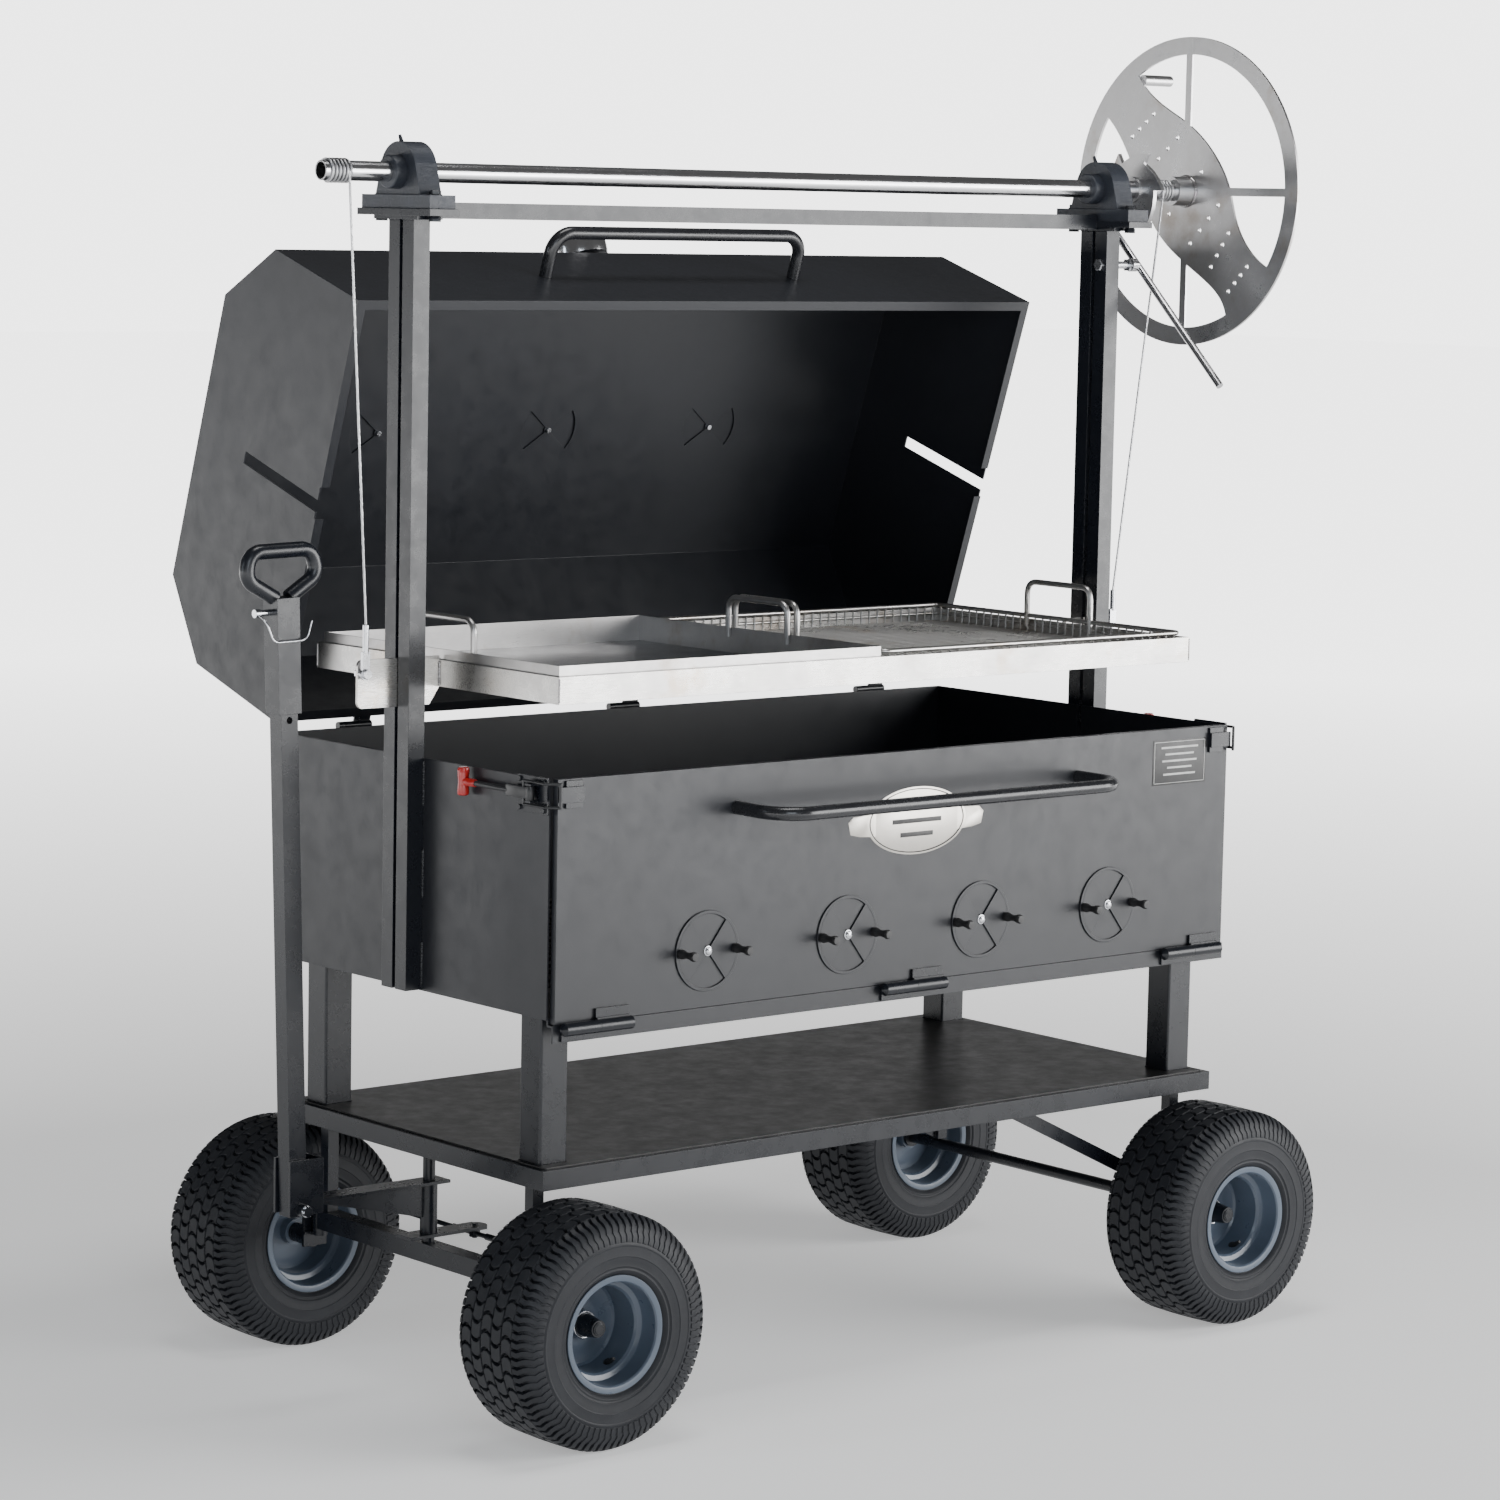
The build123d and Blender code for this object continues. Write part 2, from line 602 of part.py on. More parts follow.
lever_axis = (915.0, -400.0)
loop_axis_y = -380.0
loop_half = 22.0
loop_bar = (893.3, -465.0)
with BuildPart() as latch_bases:
    for side in (-1, 1):
        block(sorted((side * 903, side * box_x)), (-436, -345), (1191, 1261))
        for ear in (latch_z - 18, latch_z + 14):
            block(sorted((side * 921, side * 903)), (-408, -391), (ear, ear + 4))
        at = side * lever_axis[0]
        rod((at, lever_axis[1], latch_z - 18), (at, lever_axis[1], latch_z + 18), 4)
        for bolt_z in (1199, 1253):
            for bolt_y in (-427, -354):
                add(hexagon((side * 903, bolt_y, bolt_z), (side * 907, bolt_y, bolt_z), 9))
latch_bases.part.label = "latch_bases"
export_step(latch_bases.part, "parts/latch_bases.step")

for side, name in ((-1, "left"), (1, "right")):
    lever_x = side * lever_axis[0]
    with BuildPart() as latch_lever:
        rod((lever_x, lever_axis[1], latch_z - 13.5), (lever_x, lever_axis[1], latch_z + 13.5), 8)
        block((lever_x - 5, lever_x + 5), (lever_axis[1], -330), (latch_z - 11, latch_z + 11))
        for pin_y, bore in ((lever_axis[1], 4 + pin_fit), (loop_axis_y, 3 + pin_fit)):
            rod((lever_x, pin_y, latch_z - 20), (lever_x, pin_y, latch_z + 20), bore, Mode.SUBTRACT)
        rod((lever_x, -331, latch_z), (lever_x, -203 - seam, latch_z), 5.5)
        rod((lever_x, -191, latch_z - 27), (lever_x, -191, latch_z + 27), 12)
    latch_lever.part.label = f"latch_lever_{name}"
    export_step(latch_lever.part, f"parts/latch_lever_{name}.step")
    bar_x = side * loop_bar[0]
    with BuildPart() as latch_loop:
        low = latch_z - loop_half
        high = latch_z + loop_half
        corners = [(lever_x, loop_axis_y, low), (lever_x, -444, low), (bar_x, loop_bar[1], low)]
        corners += [(bar_x, loop_bar[1], high), (lever_x, -444, high), (lever_x, loop_axis_y, high)]
        for start, end in zip(corners, corners[1:] + corners[:1]):
            rod(start, end, 3)
        for corner in corners:
            with Locations(corner):
                Sphere(3)
    latch_loop.part.label = f"latch_loop_{name}"
    export_step(latch_loop.part, f"parts/latch_loop_{name}.step")

# ---------------------------------------------------------------- lid

turn = lid_t * tan(radians(22.5))
with BuildPart() as lid_shell:
    with BuildSketch(lid_plane(lid_x, 0, 0)):
        with BuildLine():
            Polyline(
                (lid_u[3], lid_w[0]), (lid_u[3], lid_w[1]), (lid_u[2], lid_w[2]), (lid_u[1], lid_w[2]),
                (lid_u[0], lid_w[1]), (lid_u[0], lid_w[0]), (lid_u[3], lid_w[0]),
            )
        make_face()
    extrude(amount=2 * lid_x)
    with BuildSketch(lid_plane(lid_x - lid_t, 0, 0)):
        with BuildLine():
            Polyline(
                (lid_u[3] - lid_t, lid_w[0] + 3), (lid_u[3] - lid_t, lid_w[1] - turn),
                (lid_u[2] - turn, lid_w[2] - lid_t), (lid_u[1] + turn, lid_w[2] - lid_t),
                (lid_u[0] + lid_t, lid_w[1] - turn), (lid_u[0] + lid_t, lid_w[0] + 3),
                (lid_u[3] - lid_t, lid_w[0] + 3),
            )
        make_face()
    extrude(amount=2 * (lid_x - lid_t), mode=Mode.SUBTRACT)
    with BuildSketch(lid_plane(lid_x - 20, 0, 0)):
        with Locations(((lid_u[0] + lid_u[3]) / 2, 2)):
            Rectangle(lid_u[3] - lid_u[0] - 40, 8)
    extrude(amount=2 * (lid_x - 20), mode=Mode.SUBTRACT)
    for side in (-1, 1):
        slot_x = lid_x + 2 if side > 0 else -lid_x + lid_t + 2
        with BuildSketch(lid_plane(slot_x, 0, 0)):
            with Locations((482, 136)):
                Rectangle(25, 274)
        extrude(amount=lid_t + 4, mode=Mode.SUBTRACT)
        start_x = lid_x + 2 if side > 0 else -lid_x + 22
        with BuildSketch(lid_plane(start_x, 0, 0)):
            with Locations((488.5, 2)):
                Rectangle(67, 7)
        extrude(amount=24, mode=Mode.SUBTRACT)
    for at in lid_damper_x:
        top_plane = lid_plane(at, lid_damper_u, lid_w[2], (0, sin(lid_open), cos(lid_open)))
        for start in (-38, 142):
            add(pie(top_plane, door_holes_r[0], door_holes_r[1], start, 76, 5), mode=Mode.SUBTRACT)
        with BuildSketch(top_plane.offset(1)):
            Circle(6 + pin_fit)
        extrude(amount=-6, mode=Mode.SUBTRACT)
lid_shell.part.label = "lid_shell"
export_step(lid_shell.part, "parts/lid_shell.step")

with BuildPart() as lid_handle:
    foot_w = 150
    stand = lid_u[3] + 94
    points = [lid_point(-332, lid_u[3], foot_w), lid_point(-332, stand, foot_w)]
    points += [lid_point(332, stand, foot_w), lid_point(332, lid_u[3], foot_w)]
    add(bent_rod(points, 45, handle_r))
lid_handle.part.label = "lid_handle"
export_step(lid_handle.part, "parts/lid_handle.step")

for at, name in zip(lid_damper_x, ("left", "centre", "right")):
    top_plane = lid_plane(at, lid_damper_u, lid_w[2], (0, sin(lid_open), cos(lid_open)))
    with BuildPart() as lid_damper:
        add(damper(top_plane, 12))
    lid_damper.part.label = f"lid_damper_{name}"
    export_step(lid_damper.part, f"parts/lid_damper_{name}.step")

slope = radians(45)
with BuildPart() as thermometer:
    dial_u = (lid_u[2] + lid_u[3]) / 2 + 20
    dial_w = (lid_w[1] + lid_w[2]) / 2 - 20
    level = [lid_point(-70, dial_u + step * sin(slope), dial_w + step * cos(slope)) for step in (1, 14, 50)]
    rod(level[0], level[1], 18)
    rod(level[1], level[2], 62)
thermometer.part.label = "thermometer"
export_step(thermometer.part, "parts/thermometer.step")

lid_hinge_at = (-700.0, 0.0, 700.0)
with BuildPart() as lid_hinge_leaves:
    for at in lid_hinge_at:
        ends = (at + gap, at + 40)
        rod((ends[0], lid_axis_y, lid_axis_z), (ends[1], lid_axis_y, lid_axis_z), 8)
        with BuildSketch(lid_plane(ends[1], 0, 0)):
            with Locations((10, 4.5)):
                Rectangle(14, 4)
            with Locations((15, 24)):
                Rectangle(4, 43)
        extrude(amount=ends[1] - ends[0])
        bore_end = (ends[1] - 4, lid_axis_y, lid_axis_z)
        rod((ends[0] - 1, lid_axis_y, lid_axis_z), bore_end, 4 + pin_fit, Mode.SUBTRACT)
lid_hinge_leaves.part.label = "lid_hinge_leaves"
export_step(lid_hinge_leaves.part, "parts/lid_hinge_leaves.step")

with BuildPart() as fixed_hinge_barrels:
    for at in lid_hinge_at:
        rod((at - 40, lid_axis_y, lid_axis_z), (at, lid_axis_y, lid_axis_z), 8)
        rod((at - 1, lid_axis_y, lid_axis_z), (at + 34, lid_axis_y, lid_axis_z), 4)
        block((at - 40, at), (box_back, box_back + 4), (1215, 1257))
        block((at - 40, at), (box_back, 472), (1250, 1255))
    for span in door_hinge_x:
        middle = (span[0] + span[1]) / 2 - gap
        rod((span[0], door_axis_y, door_axis_z), (middle, door_axis_y, door_axis_z), barrel_r)
        cone((span[0], door_axis_y, door_axis_z), (span[0] - 9, door_axis_y, door_axis_z), barrel_r, 2)
        rod((middle - 1, door_axis_y, door_axis_z), (span[1] - 12, door_axis_y, door_axis_z), 6)
        block((span[0], middle), (-456, apron_front), (764, door_axis_z))
fixed_hinge_barrels.part.label = "fixed_hinge_barrels"
export_step(fixed_hinge_barrels.part, "parts/fixed_hinge_barrels.step")

# ---------------------------------------------------------------- running gear

bead_r = 101.7
with BuildPart() as axles:
    rod((right_x, -545, tyre_r), (right_x, 545, tyre_r), axle_r)
    for side in (-1, 1):
        cone((right_x, side * 500.6, tyre_r), (right_x, side * 543, tyre_r), 23, 16.5)
        rod((right_x, side * 543, tyre_r), (right_x, side * 546, tyre_r), 10)
        rod((right_x, side * 448, tyre_r), (right_x, side * 454.4, tyre_r), 22)
    block((left_x - 19, left_x + 19), (-355, 355), (256, 294))
    for side in (-1, 1):
        rod((left_x, side * kingpin_y, 245), (left_x, side * kingpin_y, 305), 16)
        rod((left_x, side * kingpin_y, 240), (left_x, side * kingpin_y, 310), 10 + pin_fit, Mode.SUBTRACT)
axles.part.label = "axles"
export_step(axles.part, "parts/axles.step")

post = 12.7
with BuildPart() as axle_supports:
    for side in (-1, 1):
        near = sorted((side * 349.3, side * 374.7))
        block((right_x - post, right_x + post), near, (tyre_r + axle_r, tube_z[0]))
        brace_slope = (478 - 254) / (right_x - 376)
        wide = 14 * hypot(1, brace_slope) / brace_slope
        end_x = right_x - post - seam
        foot_low = tube_z[0] - brace_slope * (end_x - 376 + wide)
        foot_high = tube_z[0] - brace_slope * (end_x - 376 - wide)
        with BuildSketch(Plane.XZ.offset(-side * 362 - 3)):
            with BuildLine():
                Polyline(
                    (376 - wide, tube_z[0]), (376 + wide, tube_z[0]), (end_x, foot_high),
                    (end_x, foot_low), (376 - wide, tube_z[0]),
                )
            make_face()
        extrude(amount=6)
        far = sorted((side * 326.3, side * 351.7))
        block((left_x - post, left_x + post), far, (294, tube_z[0]))
    rod((left_x, 0, 294), (left_x, 0, tube_z[0]), 12)
axle_supports.part.label = "axle_supports"
export_step(axle_supports.part, "parts/axle_supports.step")

for side, name in ((-1, "front"), (1, "back")):
    pin_y = side * kingpin_y
    with BuildPart() as knuckle:
        for level in (238.7, 305.3):
            with BuildSketch(Plane.XY.offset(level)):
                with Locations((left_x, pin_y)):
                    Circle(15)
                with Locations((left_x, pin_y + side * 15)):
                    Rectangle(30, 18)
                with Locations((left_x, pin_y + side * 19)):
                    Rectangle(56, 10)
            extrude(amount=6)
        block((left_x - 28, left_x + 28), sorted((side * 388, side * 394)), (213, 311.3))
        rod((left_x, pin_y, 238.7), (left_x, pin_y, 311.3), 10)
        rod((left_x, side * 393, tyre_r), (left_x, side * 545, tyre_r), axle_r)
        rod((left_x, side * 394, tyre_r), (left_x, side * 454.4, tyre_r), 20)
        cone((left_x, side * 500.6, tyre_r), (left_x, side * 543, tyre_r), 23, 16.5)
        rod((left_x, side * 543, tyre_r), (left_x, side * 546, tyre_r), 10)
        block((left_x, left_x + steer_arm), (pin_y - 9, pin_y + 9), (305.3, 311.3))
        rod((left_x + steer_arm, pin_y, 305.3), (left_x + steer_arm, pin_y, 311.3), 9)
        rod((left_x + steer_arm, pin_y, rod_z - 9), (left_x + steer_arm, pin_y, 314), 5)
    knuckle.part.label = f"knuckle_{name}"
    export_step(knuckle.part, f"parts/knuckle_{name}.step")

with BuildPart() as tie_rods:
    link_x = left_x + steer_arm
    for side in (-1, 1):
        rod((link_x, side * 8, rod_z), (link_x, side * (kingpin_y - 8), rod_z), 5)
        rod((link_x, side * 40, rod_z), (link_x, side * 70, rod_z), 7)
    for at in (-kingpin_y, 0, kingpin_y):
        rod((link_x, at, rod_z - 6), (link_x, at, rod_z + 6), 11)
    for at in (-kingpin_y, 0, kingpin_y):
        rod((link_x, at, rod_z - 10), (link_x, at, rod_z + 10), 5 + pin_fit, Mode.SUBTRACT)
tie_rods.part.label = "tie_rods"
export_step(tie_rods.part, "parts/tie_rods.step")

hitch_front = -1192.0
hitch_z = (392.0, 499.0)
pull_axis = (-1166.0, 403.0)
with BuildPart() as steer_column:
    rod((left_x, 0, 307), (left_x, 0, 412), 17)
    block((-1115, -811), (-25, 25), (412, 418))
    block((-905, -720), (-25, 25), (307, 313))
    rod((link_x, 0, 307), (link_x, 0, 313), 25)
    rod((link_x, 0, rod_z - 9), (link_x, 0, 316), 5)
    with BuildSketch(Plane.XZ.offset(-3)):
        with BuildLine():
            Polyline((-862, 345), (-862, 412), (-1100, 412), (-1100, 402), (-862, 345))
        make_face()
    extrude(amount=6)
    rod((left_x, 0, 306), (left_x, 0, 419), 12 + pin_fit, Mode.SUBTRACT)
    block((-1121, -1115), (-28, 28), hitch_z)
    for side in (-1, 1):
        block((hitch_front, -1121), sorted((side * 22, side * 28)), hitch_z)
        rod((pull_axis[0], side * 28, pull_axis[1]), (pull_axis[0], side * 45, pull_axis[1]), 12.5)
    rod((pull_axis[0], -46, pull_axis[1]), (pull_axis[0], 46, pull_axis[1]), 6 + pin_fit, Mode.SUBTRACT)
steer_column.part.label = "steer_column"
export_step(steer_column.part, "parts/steer_column.step")

tube_x = pull_axis[0]
sleeve_z = (1357.0, 1577.0)
pin_z = 1550.0
pull_lean = 1.8


def lean(shape):
    """A drawbar piece tilted outwards about its hinge bolt."""
    hinge_line = Axis((pull_axis[0], 0, pull_axis[1]), (0, 1, 0))
    return shape.rotate(hinge_line, -pull_lean)


with BuildPart() as upright_tube:
    block((tube_x - 19, tube_x + 19), (-19, 19), (388, 1400))
    rod((pull_axis[0], -21.6, pull_axis[1]), (pull_axis[0], 21.6, pull_axis[1]), 12.5)
    rod((pull_axis[0], -50, pull_axis[1]), (pull_axis[0], 50, pull_axis[1]), 6)
    add(hexagon((pull_axis[0], -52, pull_axis[1]), (pull_axis[0], -45.3, pull_axis[1]), 19))
    add(hexagon((pull_axis[0], 45.3, pull_axis[1]), (pull_axis[0], 52, pull_axis[1]), 19))
    rod((tube_x, -20, 1345), (tube_x, 20, 1345), 6.5, Mode.SUBTRACT)
with BuildPart() as pull_tube:
    add(lean(upright_tube.part))
pull_tube.part.label = "pull_tube"
export_step(pull_tube.part, "parts/pull_tube.step")

with BuildPart() as upright_sleeve:
    block((tube_x - 25.4, tube_x + 25.4), (-23, 23), sleeve_z)
    block((tube_x - 19.1, tube_x + 19.1), (-19.1, 19.1), (sleeve_z[0] - 1, sleeve_z[1] - 5), Mode.SUBTRACT)
    rod((tube_x - 30, 0, pin_z), (tube_x + 30, 0, pin_z), 6 + pin_fit, Mode.SUBTRACT)
    points = [(tube_x - 15, 0, sleeve_z[1] - 1), (tube_x - 80, 0, 1614), (tube_x - 70, 0, 1665)]
    points += [(tube_x + 70, 0, 1665), (tube_x + 80, 0, 1614), (tube_x + 15, 0, sleeve_z[1] - 1)]
    add(bent_rod(points, 30, 14.5))
with BuildPart() as pull_sleeve:
    add(lean(upright_sleeve.part))
pull_sleeve.part.label = "pull_sleeve"
export_step(pull_sleeve.part, "parts/pull_sleeve.step")

with BuildPart() as upright_pin:
    rod((tube_x - 52, 0, pin_z), (tube_x + 36, 0, pin_z), 6)
    rod((tube_x - 62, 0, pin_z), (tube_x - 50, 0, pin_z), 8)
    bail = [(tube_x - 56, 0, pin_z), (tube_x - 56, -32, 1536), (tube_x - 40, -32, 1496)]
    bail += [(tube_x + 34, -32, 1496), (tube_x + 46, -32, 1532)]
    add(bent_rod(bail, 18, 1.6))
with BuildPart() as hitch_pin:
    add(lean(upright_pin.part))
hitch_pin.part.label = "hitch_pin"
export_step(hitch_pin.part, "parts/hitch_pin.step")

tread_r = tyre_r - 1.6
for corner_x, corner_y, name in (
    (left_x, -wheel_y, "front_left"),
    (right_x, -wheel_y, "front_right"),
    (left_x, wheel_y, "back_left"),
    (right_x, wheel_y, "back_right"),
):
    out = 1 if corner_y > 0 else -1
    wheel_face = Plane(origin=(corner_x, corner_y, tyre_r), x_dir=(0, out, 0), z_dir=(out, 0, 0))
    with BuildPart() as tyre:
        with BuildSketch(wheel_face):
            with BuildLine():
                half = [(0, tyre_r), (78, tread_r), (95, 214), (105, 190), (tyre_half, 165), (107, 138)]
                half += [(97, 113), (97, bead_r), (88, bead_r), (88, 116), (98, 140), (100, 165)]
                half += [(95, 188), (86, 205), (72, 217), (0, 219)]
                Polyline(*half, *[(-a, r) for a, r in reversed(half[1:-1])], half[0])
            make_face()
        revolve(axis=Axis((corner_x, corner_y, tyre_r), (0, 1, 0)))
    tyre.part.label = f"tyre_{name}"
    export_step(tyre.part, f"parts/tyre_{name}.step")
    with BuildPart() as rim:
        with BuildSketch(wheel_face):
            with BuildLine():
                shape = [(-101, 113), (-97.3, 113), (-97.3, 101.6), (-60, 101.6), (-50, 86), (50, 86)]
                shape += [(60, 101.6), (97.3, 101.6), (97.3, 113), (101, 113), (101, 98), (62, 98)]
                shape += [(52, 82.5), (-13, 82.5), (-13, 27), (7, 27), (7, axle_r + pin_fit)]
                shape += [(-38, axle_r + pin_fit), (-38, 27), (-17, 27), (-17, 82.5), (-52, 82.5)]
                shape += [(-62, 98), (-101, 98)]
                Polyline(*shape, shape[0])
            make_face()
        revolve(axis=Axis((corner_x, corner_y, tyre_r), (0, 1, 0)))
    rim.part.label = f"rim_{name}"
    export_step(rim.part, f"parts/rim_{name}.step")
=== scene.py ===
import json
import random
from math import cos, pi, radians, sin, tau

import bmesh
import bpy
from mathutils import Matrix, Vector


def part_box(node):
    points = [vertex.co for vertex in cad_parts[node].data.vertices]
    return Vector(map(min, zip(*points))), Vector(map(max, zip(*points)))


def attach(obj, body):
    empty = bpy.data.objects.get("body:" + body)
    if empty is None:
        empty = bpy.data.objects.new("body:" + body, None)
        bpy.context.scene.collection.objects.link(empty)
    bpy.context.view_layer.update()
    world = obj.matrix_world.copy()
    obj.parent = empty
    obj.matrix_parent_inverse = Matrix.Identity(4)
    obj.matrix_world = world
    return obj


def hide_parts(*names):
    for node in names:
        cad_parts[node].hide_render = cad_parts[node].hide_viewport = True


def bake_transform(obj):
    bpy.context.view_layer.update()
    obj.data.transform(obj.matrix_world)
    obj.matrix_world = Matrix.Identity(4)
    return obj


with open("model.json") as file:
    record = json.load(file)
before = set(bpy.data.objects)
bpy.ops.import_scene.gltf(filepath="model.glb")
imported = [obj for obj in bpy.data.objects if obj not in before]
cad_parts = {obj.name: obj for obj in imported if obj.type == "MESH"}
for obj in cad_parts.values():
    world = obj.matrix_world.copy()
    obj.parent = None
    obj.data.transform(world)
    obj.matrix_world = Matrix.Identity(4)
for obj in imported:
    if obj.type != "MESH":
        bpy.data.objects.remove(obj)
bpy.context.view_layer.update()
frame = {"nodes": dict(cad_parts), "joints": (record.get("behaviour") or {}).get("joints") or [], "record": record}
nodes = frame["nodes"]
random.seed(7)

# ------------------------------------------------------------------ materials


def new_material(name):
    """An empty Principled material with object coordinates, which are metres in the wagon's frame."""
    made = bpy.data.materials.new(name)
    made.use_nodes = True
    tree = made.node_tree
    return made, tree, tree.nodes["Principled BSDF"], tree.nodes.new("ShaderNodeTexCoord").outputs["Object"]


def noise(tree, where, scale, stretch=(1, 1, 1), detail=4, rough=0.55):
    """A noise value over the surface, stretched along the wagon's axes."""
    mapping = tree.nodes.new("ShaderNodeMapping")
    mapping.inputs["Scale"].default_value = stretch
    tree.links.new(where, mapping.inputs["Vector"])
    made = tree.nodes.new("ShaderNodeTexNoise")
    made.inputs["Scale"].default_value = scale
    made.inputs["Detail"].default_value = detail
    made.inputs["Roughness"].default_value = rough
    tree.links.new(mapping.outputs["Vector"], made.inputs["Vector"])
    return made.outputs["Fac"]


def ramp(tree, value, low, high, start=0.0, end=1.0):
    """The value read between low and high, as a number between start and end."""
    made = tree.nodes.new("ShaderNodeMapRange")
    made.inputs["From Min"].default_value = low
    made.inputs["From Max"].default_value = high
    made.inputs["To Min"].default_value = start
    made.inputs["To Max"].default_value = end
    tree.links.new(value, made.inputs["Value"])
    return made.outputs["Result"]


def blend_colour(tree, value, first, second):
    """A colour between two, by a value; either may be a socket."""
    made = tree.nodes.new("ShaderNodeMix")
    made.data_type = "RGBA"
    tree.links.new(value, made.inputs["Factor"])
    for socket, colour in ((made.inputs[6], first), (made.inputs[7], second)):
        if isinstance(colour, tuple):
            socket.default_value = (*colour, 1)
        else:
            tree.links.new(colour, socket)
    return made.outputs[2]


def edges(tree, radius, low, high):
    """One near sharp edges and nothing elsewhere."""
    bevel = tree.nodes.new("ShaderNodeBevel")
    bevel.samples = 4
    bevel.inputs["Radius"].default_value = radius
    flat = tree.nodes.new("ShaderNodeNewGeometry")
    dot = tree.nodes.new("ShaderNodeVectorMath")
    dot.operation = "DOT_PRODUCT"
    tree.links.new(bevel.outputs["Normal"], dot.inputs[0])
    tree.links.new(flat.outputs["Normal"], dot.inputs[1])
    return ramp(tree, dot.outputs["Value"], high, low), bevel.outputs["Normal"]


def bump(tree, shader, height, distance, strength=1.0, under=None):
    made = tree.nodes.new("ShaderNodeBump")
    made.inputs["Distance"].default_value = distance
    made.inputs["Strength"].default_value = strength
    tree.links.new(height, made.inputs["Height"])
    if under is not None:
        tree.links.new(under, made.inputs["Normal"])
    tree.links.new(made.outputs["Normal"], shader.inputs["Normal"])


def paint(name, base, worn, rough, coat=0.0, peel=0.00006, cloud=3.0, edge=0.0012, rub=0.7):
    """Sprayed paint: faint clouding, dust that changes the gloss, orange peel and rubbed edges."""
    made, tree, shader, where = new_material(name)
    broad = noise(tree, where, cloud)
    fine = noise(tree, where, 260, detail=2)
    dust = noise(tree, where, 22, detail=6, rough=0.7)
    lighter = tuple(c * 1.35 + 0.0015 for c in base)
    colour = blend_colour(tree, ramp(tree, broad, 0.35, 0.7), base, lighter)
    near_edge, soft = edges(tree, edge, 0.8, 0.995)
    rubbed = tree.nodes.new("ShaderNodeMath")
    rubbed.operation = "MULTIPLY"
    tree.links.new(near_edge, rubbed.inputs[0])
    tree.links.new(ramp(tree, dust, 0.42, 0.6, 0.12, rub), rubbed.inputs[1])
    tree.links.new(blend_colour(tree, rubbed.outputs["Value"], colour, worn), shader.inputs["Base Color"])
    tree.links.new(ramp(tree, dust, 0.3, 0.7, rough - 0.05, rough + 0.09), shader.inputs["Roughness"])
    shader.inputs["Coat Weight"].default_value = coat
    shader.inputs["Coat Roughness"].default_value = 0.12
    bump(tree, shader, fine, peel, under=soft)
    return made


def metal(name, base, second, rough, stretch=(1, 1, 1), grain=900, cut=0.00003, cloud=6.0, spread=0.12,
        tint=None, heat=None, flat=None):
    """Bare metal with drawn grain, clouded tone and changing gloss.

    Heat is the size of the warm tint's patches, and flat is a painted dark reflection: a darker colour laid on the
    faces that look up.
    """
    made, tree, shader, where = new_material(name)
    lines = noise(tree, where, grain, stretch, detail=3)
    clouds = noise(tree, where, cloud, detail=6, rough=0.65)
    colour = blend_colour(tree, ramp(tree, clouds, 0.32, 0.68), base, second)
    streaks = tuple(c * 0.78 for c in base)
    colour = blend_colour(tree, ramp(tree, lines, 0.45, 0.75, 0, 0.55), colour, streaks)
    if tint:
        patches = noise(tree, where, heat or 9.0, detail=5, rough=0.6)
        colour = blend_colour(tree, ramp(tree, patches, 0.56, 0.72, 0, 0.6), colour, tint)
    # painted dark reflection: faces that look up take the flat colour
    if flat:
        painted_reflection_facing = tree.nodes.new("ShaderNodeSeparateXYZ")
        tree.links.new(tree.nodes.new("ShaderNodeNewGeometry").outputs["Normal"], painted_reflection_facing.inputs[0])
        colour = blend_colour(tree, ramp(tree, painted_reflection_facing.outputs["Z"], 0.9, 0.98), colour, flat)
    tree.links.new(colour, shader.inputs["Base Color"])
    shader.inputs["Metallic"].default_value = 1.0
    gloss = tree.nodes.new("ShaderNodeMath")
    gloss.operation = "ADD"
    tree.links.new(ramp(tree, clouds, 0.3, 0.7, rough - spread / 2, rough + spread / 2), gloss.inputs[0])
    tree.links.new(ramp(tree, lines, 0.3, 0.7, -0.04, 0.06), gloss.inputs[1])
    tree.links.new(gloss.outputs["Value"], shader.inputs["Roughness"])
    soft = edges(tree, 0.0008, 0.8, 0.995)[1]
    bump(tree, shader, lines, cut, under=soft)
    return made


def rubber(name, base, dusty):
    """Moulded rubber with a fine grain and pale dust in the low places."""
    made, tree, shader, where = new_material(name)
    dust = noise(tree, where, 18, detail=7, rough=0.7)
    grain = noise(tree, where, 700, detail=3)
    tree.links.new(blend_colour(tree, ramp(tree, dust, 0.45, 0.75, 0, 0.7), base, dusty),
        shader.inputs["Base Color"])
    tree.links.new(ramp(tree, dust, 0.3, 0.7, 0.44, 0.6), shader.inputs["Roughness"])
    shader.inputs["Specular IOR Level"].default_value = 0.36
    soft = edges(tree, 0.001, 0.8, 0.995)[1]
    bump(tree, shader, grain, 0.00012, under=soft)
    return made


def cast(name, base, worn):
    """Painted sand casting: a coarse skin with small pits."""
    made, tree, shader, where = new_material(name)
    coarse = noise(tree, where, 160, detail=5, rough=0.7)
    broad = noise(tree, where, 14, detail=4)
    near_edge, soft = edges(tree, 0.002, 0.75, 0.99)
    colour = blend_colour(tree, ramp(tree, broad, 0.35, 0.7), base, tuple(c * 1.6 for c in base))
    tree.links.new(blend_colour(tree, ramp(tree, near_edge, 0, 1, 0, 0.5), colour, worn),
        shader.inputs["Base Color"])
    tree.links.new(ramp(tree, coarse, 0.3, 0.7, 0.32, 0.55), shader.inputs["Roughness"])
    bump(tree, shader, coarse, 0.0009, under=soft)
    return made


